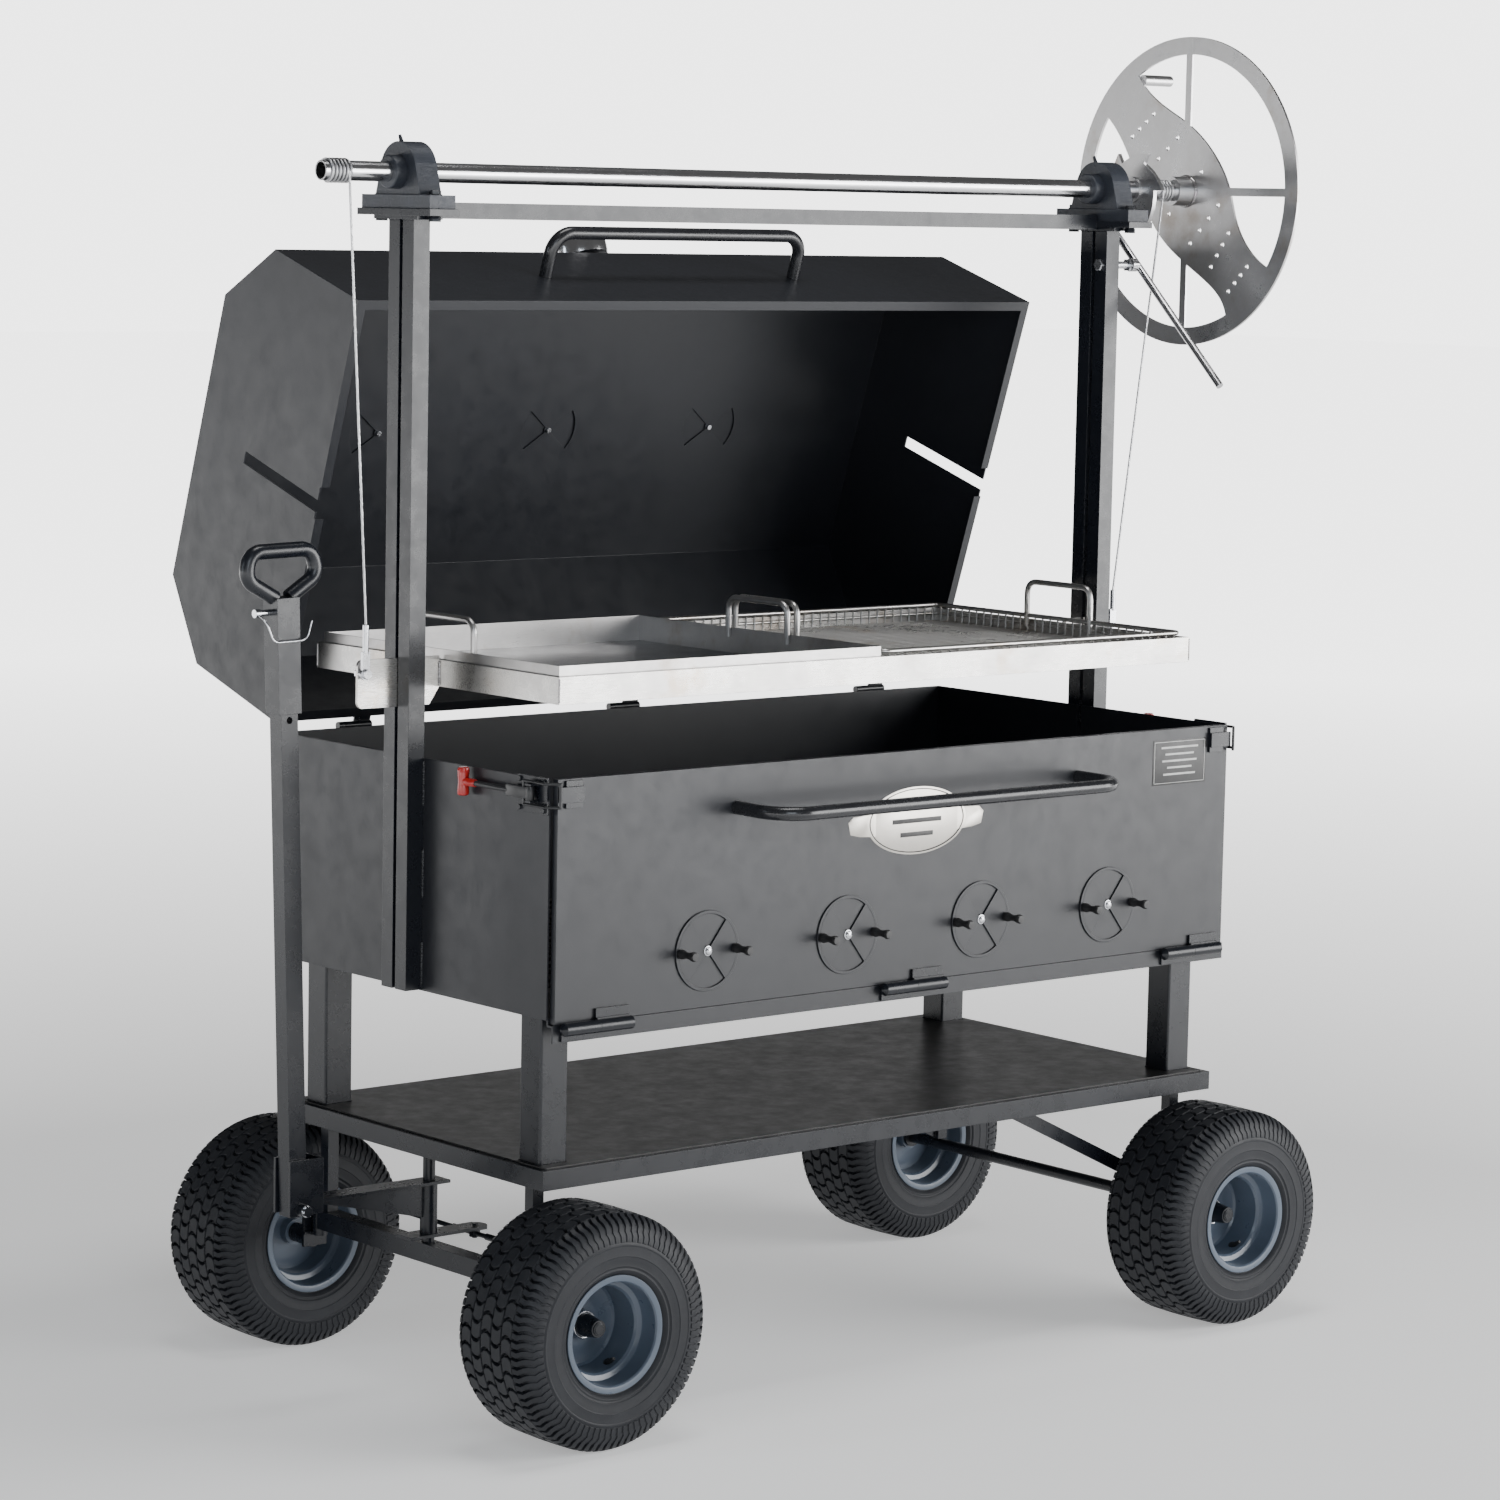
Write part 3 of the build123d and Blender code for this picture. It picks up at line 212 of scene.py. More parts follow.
def plastic(name, base, rough, coat=0.0):
    """Dipped vinyl or moulded plastic with a fine ripple."""
    made, tree, shader, where = new_material(name)
    ripple = noise(tree, where, 120, detail=4)
    tone = noise(tree, where, 30, detail=3)
    tree.links.new(blend_colour(tree, ramp(tree, tone, 0.35, 0.7), base, tuple(c * 0.75 for c in base)),
        shader.inputs["Base Color"])
    tree.links.new(ramp(tree, ripple, 0.3, 0.7, rough - 0.05, rough + 0.07), shader.inputs["Roughness"])
    shader.inputs["Coat Weight"].default_value = coat
    shader.inputs["Coat Roughness"].default_value = 0.08
    bump(tree, shader, ripple, 0.0002)
    return made


mats = {
    "frame_paint": paint("frame_paint_m", (0.0050, 0.0064, 0.0100), (0.06, 0.066, 0.08), 0.27, rub=0.35),
    "body_paint": paint("body_paint_m", (0.0100, 0.0112, 0.0148), (0.05, 0.053, 0.064), 0.37, cloud=1.6,
        rub=0.3),
    "shelf_sheet": paint("shelf_sheet_m", (0.011, 0.0105, 0.011), (0.05, 0.048, 0.046), 0.38, cloud=5.0,
        rub=0.4),
    "coal_iron": paint("coal_iron_m", (0.03, 0.027, 0.025), (0.12, 0.08, 0.06), 0.7, cloud=12.0),
    "cast_housing": cast("cast_housing_m", (0.016, 0.019, 0.026), (0.08, 0.09, 0.11)),
    "zinc": metal("zinc_m", (0.72, 0.73, 0.76), (0.56, 0.57, 0.60), 0.24, grain=300),
    "stainless": metal("stainless_m", (0.62, 0.61, 0.59), (0.50, 0.49, 0.48), 0.30, (0.05, 1, 1),
        tint=(0.42, 0.33, 0.24)),
    "shaft_steel": metal("shaft_steel_m", (0.74, 0.74, 0.75), (0.62, 0.62, 0.64), 0.17, (0.04, 1, 1),
        spread=0.08),
    "wheel_steel": metal("wheel_steel_m", (0.64, 0.64, 0.65), (0.50, 0.49, 0.485), 0.32, (1, 0.3, 1),
        cloud=9.0, tint=(0.40, 0.33, 0.27)),
    "wire_rope": metal("wire_rope_m", (0.70, 0.70, 0.71), (0.5, 0.5, 0.51), 0.3),
    "handle_steel": paint("handle_steel_m", (0.012, 0.0125, 0.015), (0.05, 0.05, 0.055), 0.24,
        coat=0.25, cloud=8.0, rub=0.15),
    "badge_metal": metal("badge_metal_m", (0.74, 0.71, 0.66), (0.62, 0.59, 0.54), 0.34, grain=500),
    "latch_steel": paint("latch_steel_m", (0.014, 0.0145, 0.016), (0.16, 0.16, 0.17), 0.30, cloud=20.0),
    "dial": metal("dial_m", (0.72, 0.72, 0.73), (0.62, 0.62, 0.63), 0.16, spread=0.06),
    "tyre": rubber("tyre_m", (0.0120, 0.0135, 0.0175), (0.030, 0.032, 0.037)),
    "rim_paint": paint("rim_paint_m", (0.080, 0.104, 0.140), (0.09, 0.115, 0.150), 0.30, coat=0.3,
        peel=0.00004, rub=0.2),
}
# The griddle's faces that look up get a painted dark reflection, the flat colour below.
griddle_m = metal("griddle_m", (0.56, 0.55, 0.54), (0.44, 0.43, 0.43), 0.34, (0.05, 1, 1),
    tint=(0.34, 0.28, 0.22), flat=(0.15, 0.155, 0.165))
weld_m = metal("weld_m", (0.58, 0.56, 0.55), (0.36, 0.35, 0.36), 0.28, cloud=90.0,
    tint=(0.28, 0.20, 0.30), heat=40.0)
weld_dark_m = paint("weld_dark_m", (0.014, 0.015, 0.018), (0.20, 0.205, 0.22), 0.22, cloud=60.0, edge=0.0006)
red_m = plastic("red_vinyl_m", (0.45, 0.012, 0.010), 0.3, 0.4)
black_m = plastic("black_plastic_m", (0.018, 0.018, 0.019), 0.38)
face_m = plastic("dial_face_m", (0.80, 0.80, 0.78), 0.35, 0.6)
ink_m = plastic("dial_ink_m", (0.02, 0.02, 0.02), 0.4)
pale_m = plastic("label_pale_m", (0.62, 0.62, 0.60), 0.45)

for sub in frame["record"]["subparts"]:
    material = griddle_m if sub["node"] == "griddle_tray" else mats[sub["material_slot"]]
    target = nodes[sub["node"]]
    if target.material_slots:
        for used in target.material_slots:
            used.material = material
    else:
        target.data.materials.append(material)

# ------------------------------------------------------------------ mesh tools


def piece(name, mesh_or_bm, material, body, smooth=35, stands_for=()):
    """A finished mesh as a piece of the object, riding on a body."""
    mesh = mesh_or_bm
    if isinstance(mesh_or_bm, bmesh.types.BMesh):
        mesh = bpy.data.meshes.new(name)
        bmesh.ops.recalc_face_normals(mesh_or_bm, faces=mesh_or_bm.faces)
        mesh_or_bm.to_mesh(mesh)
        mesh_or_bm.free()
    made = bpy.data.objects.new(name, mesh)
    bpy.context.scene.collection.objects.link(made)
    for one in material if isinstance(material, list) else [material]:
        mesh.materials.append(one)
    mesh.shade_smooth()
    mesh.set_sharp_from_angle(angle=radians(smooth))
    if body:
        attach(made, body)
    for node in stands_for:
        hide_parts(node)
    return made


def axes(direction, up=Vector((0, 0, 1))):
    """Two unit vectors across a direction."""
    along = Vector(direction).normalized()
    if abs(along.dot(up)) > 0.98:
        up = Vector((1, 0, 0))
    side = along.cross(up).normalized()
    return side, side.cross(along).normalized()


def lathe(bm, profile, centre, axis, segments=64, closed=False, index=0):
    """Turns (along, radius) points round an axis."""
    along = Vector(axis).normalized()
    side, up = axes(along)
    rings = []
    for step, radius in profile:
        middle = Vector(centre) + along * step
        if radius < 1e-6:
            rings.append([bm.verts.new(middle)])
            continue
        turn = [tau * i / segments for i in range(segments)]
        rings.append([bm.verts.new(middle + (side * cos(a) + up * sin(a)) * radius) for a in turn])
    pairs = list(zip(rings, rings[1:]))
    if closed:
        pairs.append((rings[-1], rings[0]))
    for first, second in pairs:
        for i in range(segments):
            j = (i + 1) % segments
            corners = [first[i % len(first)], first[j % len(first)], second[j % len(second)],
                second[i % len(second)]]
            unique = list(dict.fromkeys(corners))
            if len(unique) > 2:
                bm.faces.new(unique).material_index = index


def sweep(bm, points, radius, sides=10, closed=False, index=0, radii=None):
    """A round bar along a line of points."""
    path = [Vector(p) for p in points]
    count = len(path)
    rings = []
    side = None
    for i, point in enumerate(path):
        before = path[(i - 1) % count] if closed or i else path[i]
        after = path[(i + 1) % count] if closed or i < count - 1 else path[i]
        along = (after - before).normalized()
        if side is None:
            side, up = axes(along)
        side = (side - along * side.dot(along)).normalized()
        up = side.cross(along)
        size = radii[i] if radii else radius
        rings.append([
            bm.verts.new(point + (side * cos(tau * k / sides) + up * sin(tau * k / sides)) * size)
            for k in range(sides)
        ])
    pairs = list(zip(rings, rings[1:]))
    if closed:
        pairs.append((rings[-1], rings[0]))
    for first, second in pairs:
        for k in range(sides):
            n = (k + 1) % sides
            bm.faces.new((first[k], first[n], second[n], second[k])).material_index = index
    if not closed:
        bm.faces.new(list(reversed(rings[0]))).material_index = index
        bm.faces.new(rings[-1]).material_index = index


def rounded(points, bend, closed=False, steps=6):
    """The corner points of a line with each corner turned into an arc."""
    path = [Vector(p) for p in points]
    made = []
    count = len(path)
    for i, corner in enumerate(path):
        if not closed and i in (0, count - 1):
            made.append(corner)
            continue
        to_before = (path[i - 1] - corner)
        to_after = (path[(i + 1) % count] - corner)
        reach = min(bend, to_before.length * 0.49, to_after.length * 0.49)
        start = corner + to_before.normalized() * reach
        end = corner + to_after.normalized() * reach
        for k in range(steps + 1):
            t = k / steps
            made.append(start * (1 - t) ** 2 + corner * 2 * t * (1 - t) + end * t * t)
    return made


def slab(bm, low, high, soft=0.0008, index=0):
    """A bar between two corners with softened edges."""
    made = bmesh.ops.create_cube(bm, size=1)
    size = Vector(high) - Vector(low)
    middle = (Vector(high) + Vector(low)) / 2
    for v in made["verts"]:
        v.co = Vector((v.co.x * size.x, v.co.y * size.y, v.co.z * size.z)) + middle
    lines = list({e for v in made["verts"] for e in v.link_edges})
    for face in {f for v in made["verts"] for f in v.link_faces}:
        face.material_index = index
    if soft:
        bmesh.ops.bevel(bm, geom=lines, offset=soft, segments=2, affect="EDGES", profile=0.6)


def hexagon(bm, centre, axis, across, height, index=0):
    """A hexagon head with a turned chamfer."""
    radius = across / 2 / cos(pi / 6)
    profile = [(0, 0), (0, radius), (height * 0.8, radius), (height, radius * 0.86), (height, 0)]
    lathe(bm, profile, centre, axis, 6, index=index)


def weld(bm, start, end, width=0.004, pitch=0.0035):
    """A run of overlapping weld beads between two points."""
    first, last = Vector(start), Vector(end)
    length = (last - first).length
    count = max(6, int(length / pitch * 4))
    points = []
    radii = []
    for i in range(count + 1):
        t = i / count
        phase = t * length / pitch
        wander = 0.06 * width
        shift = Vector((random.uniform(-wander, wander), random.uniform(-wander, wander),
            random.uniform(-wander, wander)))
        points.append(first.lerp(last, t) + shift)
        radii.append(width * (0.62 + 0.38 * abs(sin(pi * phase))) * (0.3 if i in (0, count) else 1))
    sweep(bm, points, width, 8, radii=radii)


def lo_hi(node):
    low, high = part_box(node)
    return Vector(low), Vector(high)


# ------------------------------------------------------------------ tyres and rims

crown = 0.2286


def tyre_radius(across):
    """The tread's outer radius at a distance from the tyre's middle."""
    flat = 0.078
    if abs(across) <= flat:
        return crown - 0.0016 * (across / flat) ** 2
    return crown - 0.0016 - 0.0124 * ((abs(across) - flat) / 0.018) ** 1.5


def tread_block(bm, centre, out, around, width, y0, y1, bend, depth=0.0085):
    """One wavy tread block on the tyre's crown; bend moves its middle and its ends opposite ways."""
    rows = []
    middle = (y0 + y1) / 2
    half = (y1 - y0) / 2
    outline = [(-1, -1), (-0.55, -1), (0.45, -1), (1, -1), (1, -0.35), (1, 0.35), (1, 1), (0.55, 1),
        (-0.45, 1), (-1, 1), (-1, 0.35), (-1, -0.35)]
    lean = [0, 0, 0, 0, 1, 1, 0, 0, 0, 0, 1, 1]
    for level, shrink in ((-depth, 1.07), (-0.0014, 1.0), (0.0, 0.93)):
        ring = []
        for (turn, across), pushed in zip(outline, lean):
            yy = middle + across * half * shrink
            angle = around + turn * width / 2 * shrink + bend * (1 if pushed else -1)
            radius = tyre_radius(yy) + level - 0.0002
            place = Vector((cos(angle) * radius, yy * out, sin(angle) * radius))
            ring.append(bm.verts.new(Vector(centre) + place))
        rows.append(ring)
    count = len(outline)
    for first, second in zip(rows, rows[1:]):
        for k in range(count):
            bm.faces.new((first[k], first[(k + 1) % count], second[(k + 1) % count], second[k]))
    bm.faces.new(rows[-1])


def shoulder_rib(bm, centre, out, side, around, width):
    """A rib that runs from the tread's edge down the shoulder and onto the sidewall."""
    outer = [(0.0770, 0.2268), (0.0870, 0.2228), (0.0950, 0.2150), (0.1010, 0.2060)]
    outer += [(0.1058, 0.1965), (0.1085, 0.1880), (0.1099, 0.1790), (0.1099, 0.1765)]
    inner = [(0.0770, 0.2160), (0.0840, 0.2130), (0.0910, 0.2080), (0.0965, 0.2020)]
    inner += [(0.1020, 0.1955), (0.1050, 0.1880), (0.1070, 0.1790), (0.1080, 0.1760)]
    rows = []
    for step, ((yo, ro), (yi, ri)) in enumerate(zip(outer, inner)):
        wave = 0.010 if step in (1, 4) else -0.006
        ring = []
        for turn, y, radius, shrink in ((-1, yi, ri, 1.15), (-1, yo, ro, 0.86), (1, yo, ro, 0.86),
                (1, yi, ri, 1.15)):
            angle = around + wave + turn * width / 2 * shrink
            ring.append(bm.verts.new(Vector(centre) + Vector((cos(angle) * radius, side * out * y,
                sin(angle) * radius))))
        rows.append(ring)
    for first, second in zip(rows, rows[1:]):
        for k in range(3):
            bm.faces.new((first[k], first[k + 1], second[k + 1], second[k]))
    bm.faces.new(list(reversed(rows[0])))
    bm.faces.new(rows[-1])


def tyre_profile():
    """The carcass from bead to bead, as (across, radius), with moulded rings on the sidewalls."""
    side = [(0.0885, 0.1018), (0.0968, 0.1018), (0.0972, 0.110), (0.0985, 0.1145), (0.1010, 0.117)]
    side += [(0.1036, 0.1195), (0.1054, 0.1225), (0.1050, 0.1262), (0.1062, 0.1290), (0.1074, 0.1302)]
    side += [(0.1072, 0.1330), (0.1080, 0.1400), (0.1086, 0.1480), (0.1096, 0.1495), (0.1094, 0.1520)]
    side += [(0.1092, 0.1600), (0.1092, 0.1680), (0.1100, 0.1695), (0.1100, 0.1715), (0.1088, 0.1735)]
    side += [(0.1074, 0.1850), (0.1052, 0.1925), (0.1036, 0.1965), (0.1004, 0.2035)]
    side += [(0.0960, 0.2085), (0.0880, 0.2120), (0.0760, 0.2170), (0.0400, 0.2198), (0.0, 0.2204)]
    return side + [(-a, r) for a, r in reversed(side[:-1])]


def make_tyre(name, centre, out):
    bm = bmesh.new()
    lathe(bm, tyre_profile(), centre, (0, out, 0), 128)
    rows = 5
    around = 42
    pitch = tau / around
    half = 0.0765
    step = 2 * half / rows
    for row in range(rows):
        y0 = -half + row * step + 0.0016
        y1 = -half + (row + 1) * step - 0.0016
        for i in range(around):
            turn = (i + 0.5 * (row % 2)) * pitch
            tread_block(bm, centre, out, turn, pitch * 0.80, y0, y1, 0.013 if row % 2 else -0.013)
    for side in (-1, 1):
        for i in range(2 * around):
            shoulder_rib(bm, centre, out, side, (i + 0.5) * pitch / 2, pitch * 0.34)
    piece("tread_" + name, bm, mats["tyre"], "wheel_" + name, 28, ["tyre_" + name])


def make_rim(name, centre, out):
    bm = bmesh.new()
    ring = [(-0.1010, 0.1085), (-0.1008, 0.1122), (-0.0992, 0.1130), (-0.0976, 0.1112), (-0.0974, 0.1030)]
    ring += [(-0.0950, 0.1014), (-0.0620, 0.1014), (-0.0550, 0.0990), (-0.0520, 0.0890), (-0.0480, 0.0862)]
    ring += [(-0.0100, 0.0860), (0.0480, 0.0862), (0.0520, 0.0890), (0.0550, 0.0990), (0.0620, 0.1014)]
    ring += [(0.0950, 0.1014), (0.0974, 0.1030), (0.0976, 0.1112), (0.0992, 0.1130), (0.1008, 0.1122)]
    ring += [(0.1010, 0.1085), (0.0996, 0.1010), (0.0965, 0.0986), (0.0640, 0.0984), (0.0590, 0.0962)]
    ring += [(0.0560, 0.0868), (0.0515, 0.0832), (0.0100, 0.0828), (-0.0060, 0.0822), (-0.0105, 0.0780)]
    ring += [(-0.0122, 0.0700), (-0.0125, 0.0560), (-0.0110, 0.0480), (-0.0100, 0.0400), (-0.0112, 0.0300)]
    ring += [(-0.0105, 0.0272), (0.0058, 0.0270), (0.0070, 0.0258), (0.0070, 0.01275), (-0.0380, 0.01275)]
    ring += [(-0.0380, 0.0268), (-0.0170, 0.0270), (-0.0165, 0.0560), (-0.0163, 0.0700), (-0.0140, 0.0800)]
    ring += [(-0.0180, 0.0826), (-0.0515, 0.0832), (-0.0560, 0.0868), (-0.0590, 0.0962), (-0.0640, 0.0984)]
    ring += [(-0.0965, 0.0986), (-0.0996, 0.1010)]
    lathe(bm, ring, centre, (0, out, 0), 96, closed=True)
    piece("wheel_dish_" + name, bm, mats["rim_paint"], "wheel_" + name, 32,
        ["rim_" + name])
    bm = bmesh.new()
    hub = Vector(centre)
    lathe(bm, [(0.0068, 0.0262), (0.0078, 0.0262), (0.0084, 0.0250), (0.0080, 0.0238),
        (0.0068, 0.0236)], hub, (0, out, 0), 64, True)
    piece("hub_ring_" + name, bm, mats["zinc"], "wheel_" + name)
    bm = bmesh.new()
    turn = radians(-62)
    foot = hub + Vector((cos(turn) * 0.083, out * 0.030, sin(turn) * 0.083))
    lean = Vector((-cos(turn) * 0.5, out * 0.86, -sin(turn) * 0.5))
    stem = [(-0.004, 0.0078), (0.004, 0.0074), (0.007, 0.0052), (0.022, 0.0042), (0.023, 0.0034),
        (0.030, 0.0034), (0.031, 0.0028), (0.031, 0)]
    lathe(bm, stem, foot, lean, 20)
    piece("valve_" + name, bm, black_m, "wheel_" + name)


for name in ("front_left", "front_right", "back_left", "back_right"):
    low, high = lo_hi("tyre_" + name)
    centre = (low + high) / 2
    out = 1 if centre.y > 0 else -1
    make_tyre(name, centre, out)
    make_rim(name, centre, out)

# ------------------------------------------------------------------ ropes


def strands(bm, points, radius, turns, count=6, sides=6):
    """A laid rope: strands wound round a line of points."""
    path = [Vector(p) for p in points]
    lengths = [0.0]
    for first, second in zip(path, path[1:]):
        lengths.append(lengths[-1] + (second - first).length)
    strand_r = radius * 0.42
    for k in range(count):
        line = []
        for i, point in enumerate(path):
            along = (path[min(i + 1, len(path) - 1)] - path[max(i - 1, 0)]).normalized()
            side, up = axes(along, Vector((0, 1, 0)))
            a = tau * (k / count + turns * lengths[i] / lengths[-1])
            line.append(point + (side * cos(a) + up * sin(a)) * (radius - strand_r))
        sweep(bm, line, strand_r, sides)


shaft_low, shaft_high = lo_hi("winch_shaft")
shaft_z = (shaft_low.z + shaft_high.z) / 2
wrap_low, wrap_high = lo_hi("cable_wraps")
rope_r = 0.0025
coil_r = (wrap_high.z - wrap_low.z) / 2 - rope_r
for name, side, span, foot in (
    ("left", -1, (wrap_low.x, -1.060), Vector((-1.020, -0.016, 1.518))),
    ("right", 1, (1.080, wrap_high.x), Vector((0.968, -0.018, 1.508))),
):
    top = Vector((side * 1.072 if side < 0 else 1.0835, -coil_r, shaft_z))
    bm = bmesh.new()
    count = 360
    line = [foot.lerp(top, i / count) for i in range(count + 1)]
    strands(bm, line, rope_r, (top - foot).length / 0.028, 6, 5)
    cable = piece("hoist_rope_" + name, bm, mats["wire_rope"], None, 50)
    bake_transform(cable)
    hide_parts("hoist_cables")
    bm = bmesh.new()
    turns = int((span[1] - span[0]) / (3.4 * rope_r))
    around = 40
    line = []
    for i in range(turns * around + 1):
        a = tau * i / around
        x = span[0] + rope_r + (span[1] - span[0] - 2 * rope_r) * i / (turns * around)
        line.append((x, cos(a) * coil_r, shaft_z + sin(a) * coil_r))
    strands(bm, line, rope_r, turns * 5, 6, 5)
    piece("rope_turns_" + name, bm, mats["wire_rope"], "winch", 50, ["cable_wraps"])

# ------------------------------------------------------------------ wire basket

low, high = lo_hi("wire_basket")
rim_z = high.z - 0.0757
bm = bmesh.new()
corner_r = 0.018


def ring_at(level, inset, radius):
    x0, x1 = low.x + inset, high.x - inset
    y0, y1 = low.y + inset, high.y - inset
    corners = [(x0, y0, level), (x1, y0, level), (x1, y1, level), (x0, y1, level)]
    sweep(bm, rounded(corners, corner_r, True), radius, 12, True)


ring_at(rim_z - 0.005, 0.005, 0.005)
ring_at(rim_z - 0.024, 0.0035, 0.0032)
ring_at(low.z + 0.0035, 0.0035, 0.0032)
wire = 0.0022
pitch = 0.023
for axis in (0, 1):
    start = (low.x, low.y)[axis] + 0.020
    stop = (high.x, high.y)[axis] - 0.020
    count = int((stop - start) / pitch)
    for i in range(count + 1):
        at = start + (stop - start) * i / count
        if axis == 0:
            ends = (low.y + 0.0072, high.y - 0.0072)
            line = [(at, ends[0], rim_z - 0.006), (at, ends[0], low.z + 0.006),
                (at, ends[1], low.z + 0.006), (at, ends[1], rim_z - 0.006)]
        else:
            ends = (low.x + 0.0072, high.x - 0.0072)
            line = [(ends[0], at, rim_z - 0.006), (ends[0], at, low.z + 0.0095),
                (ends[1], at, low.z + 0.0095), (ends[1], at, rim_z - 0.006)]
        sweep(bm, rounded(line, 0.006, steps=3), wire, 6)
for x, half in ((-0.0085, 0.098), (0.8215, 0.098)):
    line = [(x, -half, low.z + 0.02), (x, -half, high.z - 0.0065), (x, half, high.z - 0.0065),
        (x, half, low.z + 0.02)]
    sweep(bm, rounded(line, 0.028), 0.0063, 14)
piece("basket_wires", bm, mats["stainless"], "basket", 40, ["wire_basket"])

# ------------------------------------------------------------------ draught discs


def sector_disc(bm, place, radius, inner, outer, openings, thick, segments=96):
    """A flat disc with sector openings, made of a rim band, a hub band and the webs between the openings."""
    def ring_point(r, a, h):
        return bm.verts.new(place @ Vector((cos(a) * r, sin(a) * r, h)))

    edge = 0.0005

    def band(r0, r1, a0, a1, full):
        steps = max(2, int(segments * (a1 - a0) / tau))
        loops = []
        for i in range(steps + (0 if full else 1)):
            a = a0 + (a1 - a0) * i / steps
            profile = [(r0, 0), (r1, 0), (r1, thick - edge), (r1 - edge, thick), (r0 + edge, thick),
                (r0, thick - edge)]
            loops.append([ring_point(r, a, h) for r, h in profile])
        pairs = list(zip(loops, loops[1:]))
        if full:
            pairs.append((loops[-1], loops[0]))
        else:
            bm.faces.new(loops[0])
            bm.faces.new(list(reversed(loops[-1])))
        for first, second in pairs:
            for k in range(6):
                n = (k + 1) % 6
                bm.faces.new((first[k], first[n], second[n], second[k]))

    band(outer, radius, 0, tau, True)
    band(0.004, inner, 0, tau, True)
    for a0, a1 in openings:
        band(inner - 0.0001, outer + 0.0001, a0, a1, False)


def damper(name, node, body, origin, right, normal):
    """The disc, its washer and bolt, and two spool knobs."""
    up = normal.cross(right)
    place = Matrix((
        (right.x, up.x, normal.x, origin.x),
        (right.y, up.y, normal.y, origin.y),
        (right.z, up.z, normal.z, origin.z),
        (0, 0, 0, 1),
    ))
    bm = bmesh.new()
    knobs = bmesh.new()
    webs = [(radians(-52), radians(52)), (radians(128), radians(232))]
    sector_disc(bm, place, 0.0785, 0.010, 0.072, webs, 0.003)
    for side in (-1, 1):
        spool = [(0.003, 0), (0.003, 0.0082), (0.006, 0.0094), (0.012, 0.0094), (0.017, 0.0076),
            (0.023, 0.0062)]
        spool += [(0.030, 0.0064), (0.037, 0.0080), (0.042, 0.0094), (0.0465, 0.0092), (0.0495, 0.0074),
            (0.0498, 0)]
        lathe(knobs, spool, place @ Vector((side * 0.068, 0, 0)), normal, 24)
    piece(name + "_disc", bm, mats["body_paint"], body, 30, [node])
    piece(name + "_knobs", knobs, black_m, body)
    bm = bmesh.new()
    lathe(bm, [(0.003, 0), (0.003, 0.0098), (0.0042, 0.0098), (0.0045, 0.0088), (0.0045, 0)], origin,
        normal, 32)
    lathe(bm, [(0.0044, 0.0076), (0.0060, 0.0078), (0.0080, 0.0066), (0.0093, 0.0036), (0.0098, 0)],
        origin, normal, 28)
    lathe(bm, [(-0.0085, 0), (-0.0085, 0.0055), (0.003, 0.006), (0.003, 0)], origin, normal, 24)
    piece(name + "_bolt", bm, mats["zinc"], body)


for j in frame["joints"]:
    if "damper" not in j["name"]:
        continue
    normal = Vector(j["axis"]).normalized()
    origin = Vector(j["pos_m"]) + normal * 0.0003
    node = j["child"].replace("_body", "")
    damper(node, node, j["child"], origin, Vector((1, 0, 0)), normal)

# ------------------------------------------------------------------ latches

for name, side in (("left", -1), ("right", 1)):
    joint = next(j for j in frame["joints"] if j["name"] == f"latch_lever_{name}_turn")
    pivot = Vector(joint["pos_m"])
    body = f"latch_lever_{name}_body"
    low, high = lo_hi("latch_lever_" + name)
    grip_y = high.y - 0.012
    bm = bmesh.new()
    lathe(bm, [(-0.0135, 0.0042), (-0.0135, 0.0076), (-0.0125, 0.008), (0.0125, 0.008),
        (0.0135, 0.0076), (0.0135, 0.0042)], pivot, (0, 0, 1), 32, True)
    slab(bm, (pivot.x - 0.005, pivot.y + 0.004, pivot.z - 0.011),
        (pivot.x + 0.005, pivot.y + 0.070, pivot.z + 0.011), 0.0015)
    sweep(bm, [(pivot.x, pivot.y + 0.066 + 0.0052 * i, pivot.z) for i in range(26)], 0.0055, 16)
    piece(f"latch_arm_{name}", bm, mats["latch_steel"], body, 35, ["latch_lever_" + name])
    bm = bmesh.new()
    grip = [(-0.027, 0), (-0.027, 0.008), (-0.0255, 0.0105), (-0.021, 0.0118), (-0.008, 0.0108),
        (0.0, 0.0104)]
    grip += [(0.008, 0.0108), (0.021, 0.0118), (0.0255, 0.0105), (0.027, 0.008), (0.027, 0)]
    lathe(bm, grip, (pivot.x, grip_y, pivot.z), (0, 0, 1), 40)
    stem = [(-0.036, 0.0), (-0.036, 0.0066), (-0.034, 0.0074), (-0.008, 0.0078), (0.0, 0.0084)]
    lathe(bm, stem, (pivot.x, grip_y - 0.004, pivot.z), (0, 1, 0), 28)
    piece(f"latch_grip_{name}", bm, red_m, body, 40)

# ------------------------------------------------------------------ badge and label, both plain

low, high = lo_hi("door_badge")
mid = (low + high) / 2
bm = bmesh.new()
face_y = high.y


def outline_slab(bm, outline, y_back, y_front, inset=0.0012):
    """A plate with a softened front edge, from an outline in X and Z."""
    middle = sum((Vector((x, 0, z)) for x, z in outline), Vector()) / len(outline)
    rings = []
    for y, shrink in ((y_back, 0), (y_front + inset * 0.5, 0), (y_front, inset)):
        ring = []
        for x, z in outline:
            away = (Vector((x, 0, z)) - middle)
            step = away.normalized() * shrink
            ring.append(bm.verts.new((x - step.x, y, z - step.z)))
        rings.append(ring)
    count = len(outline)
    for first, second in zip(rings, rings[1:]):
        for k in range(count):
            bm.faces.new((first[k], first[(k + 1) % count], second[(k + 1) % count], second[k]))
    bm.faces.new(rings[-1])


def oval(rx, rz, count=96):
    return [(mid.x + rx * cos(tau * i / count), mid.z + rz * sin(tau * i / count)) for i in range(count)]


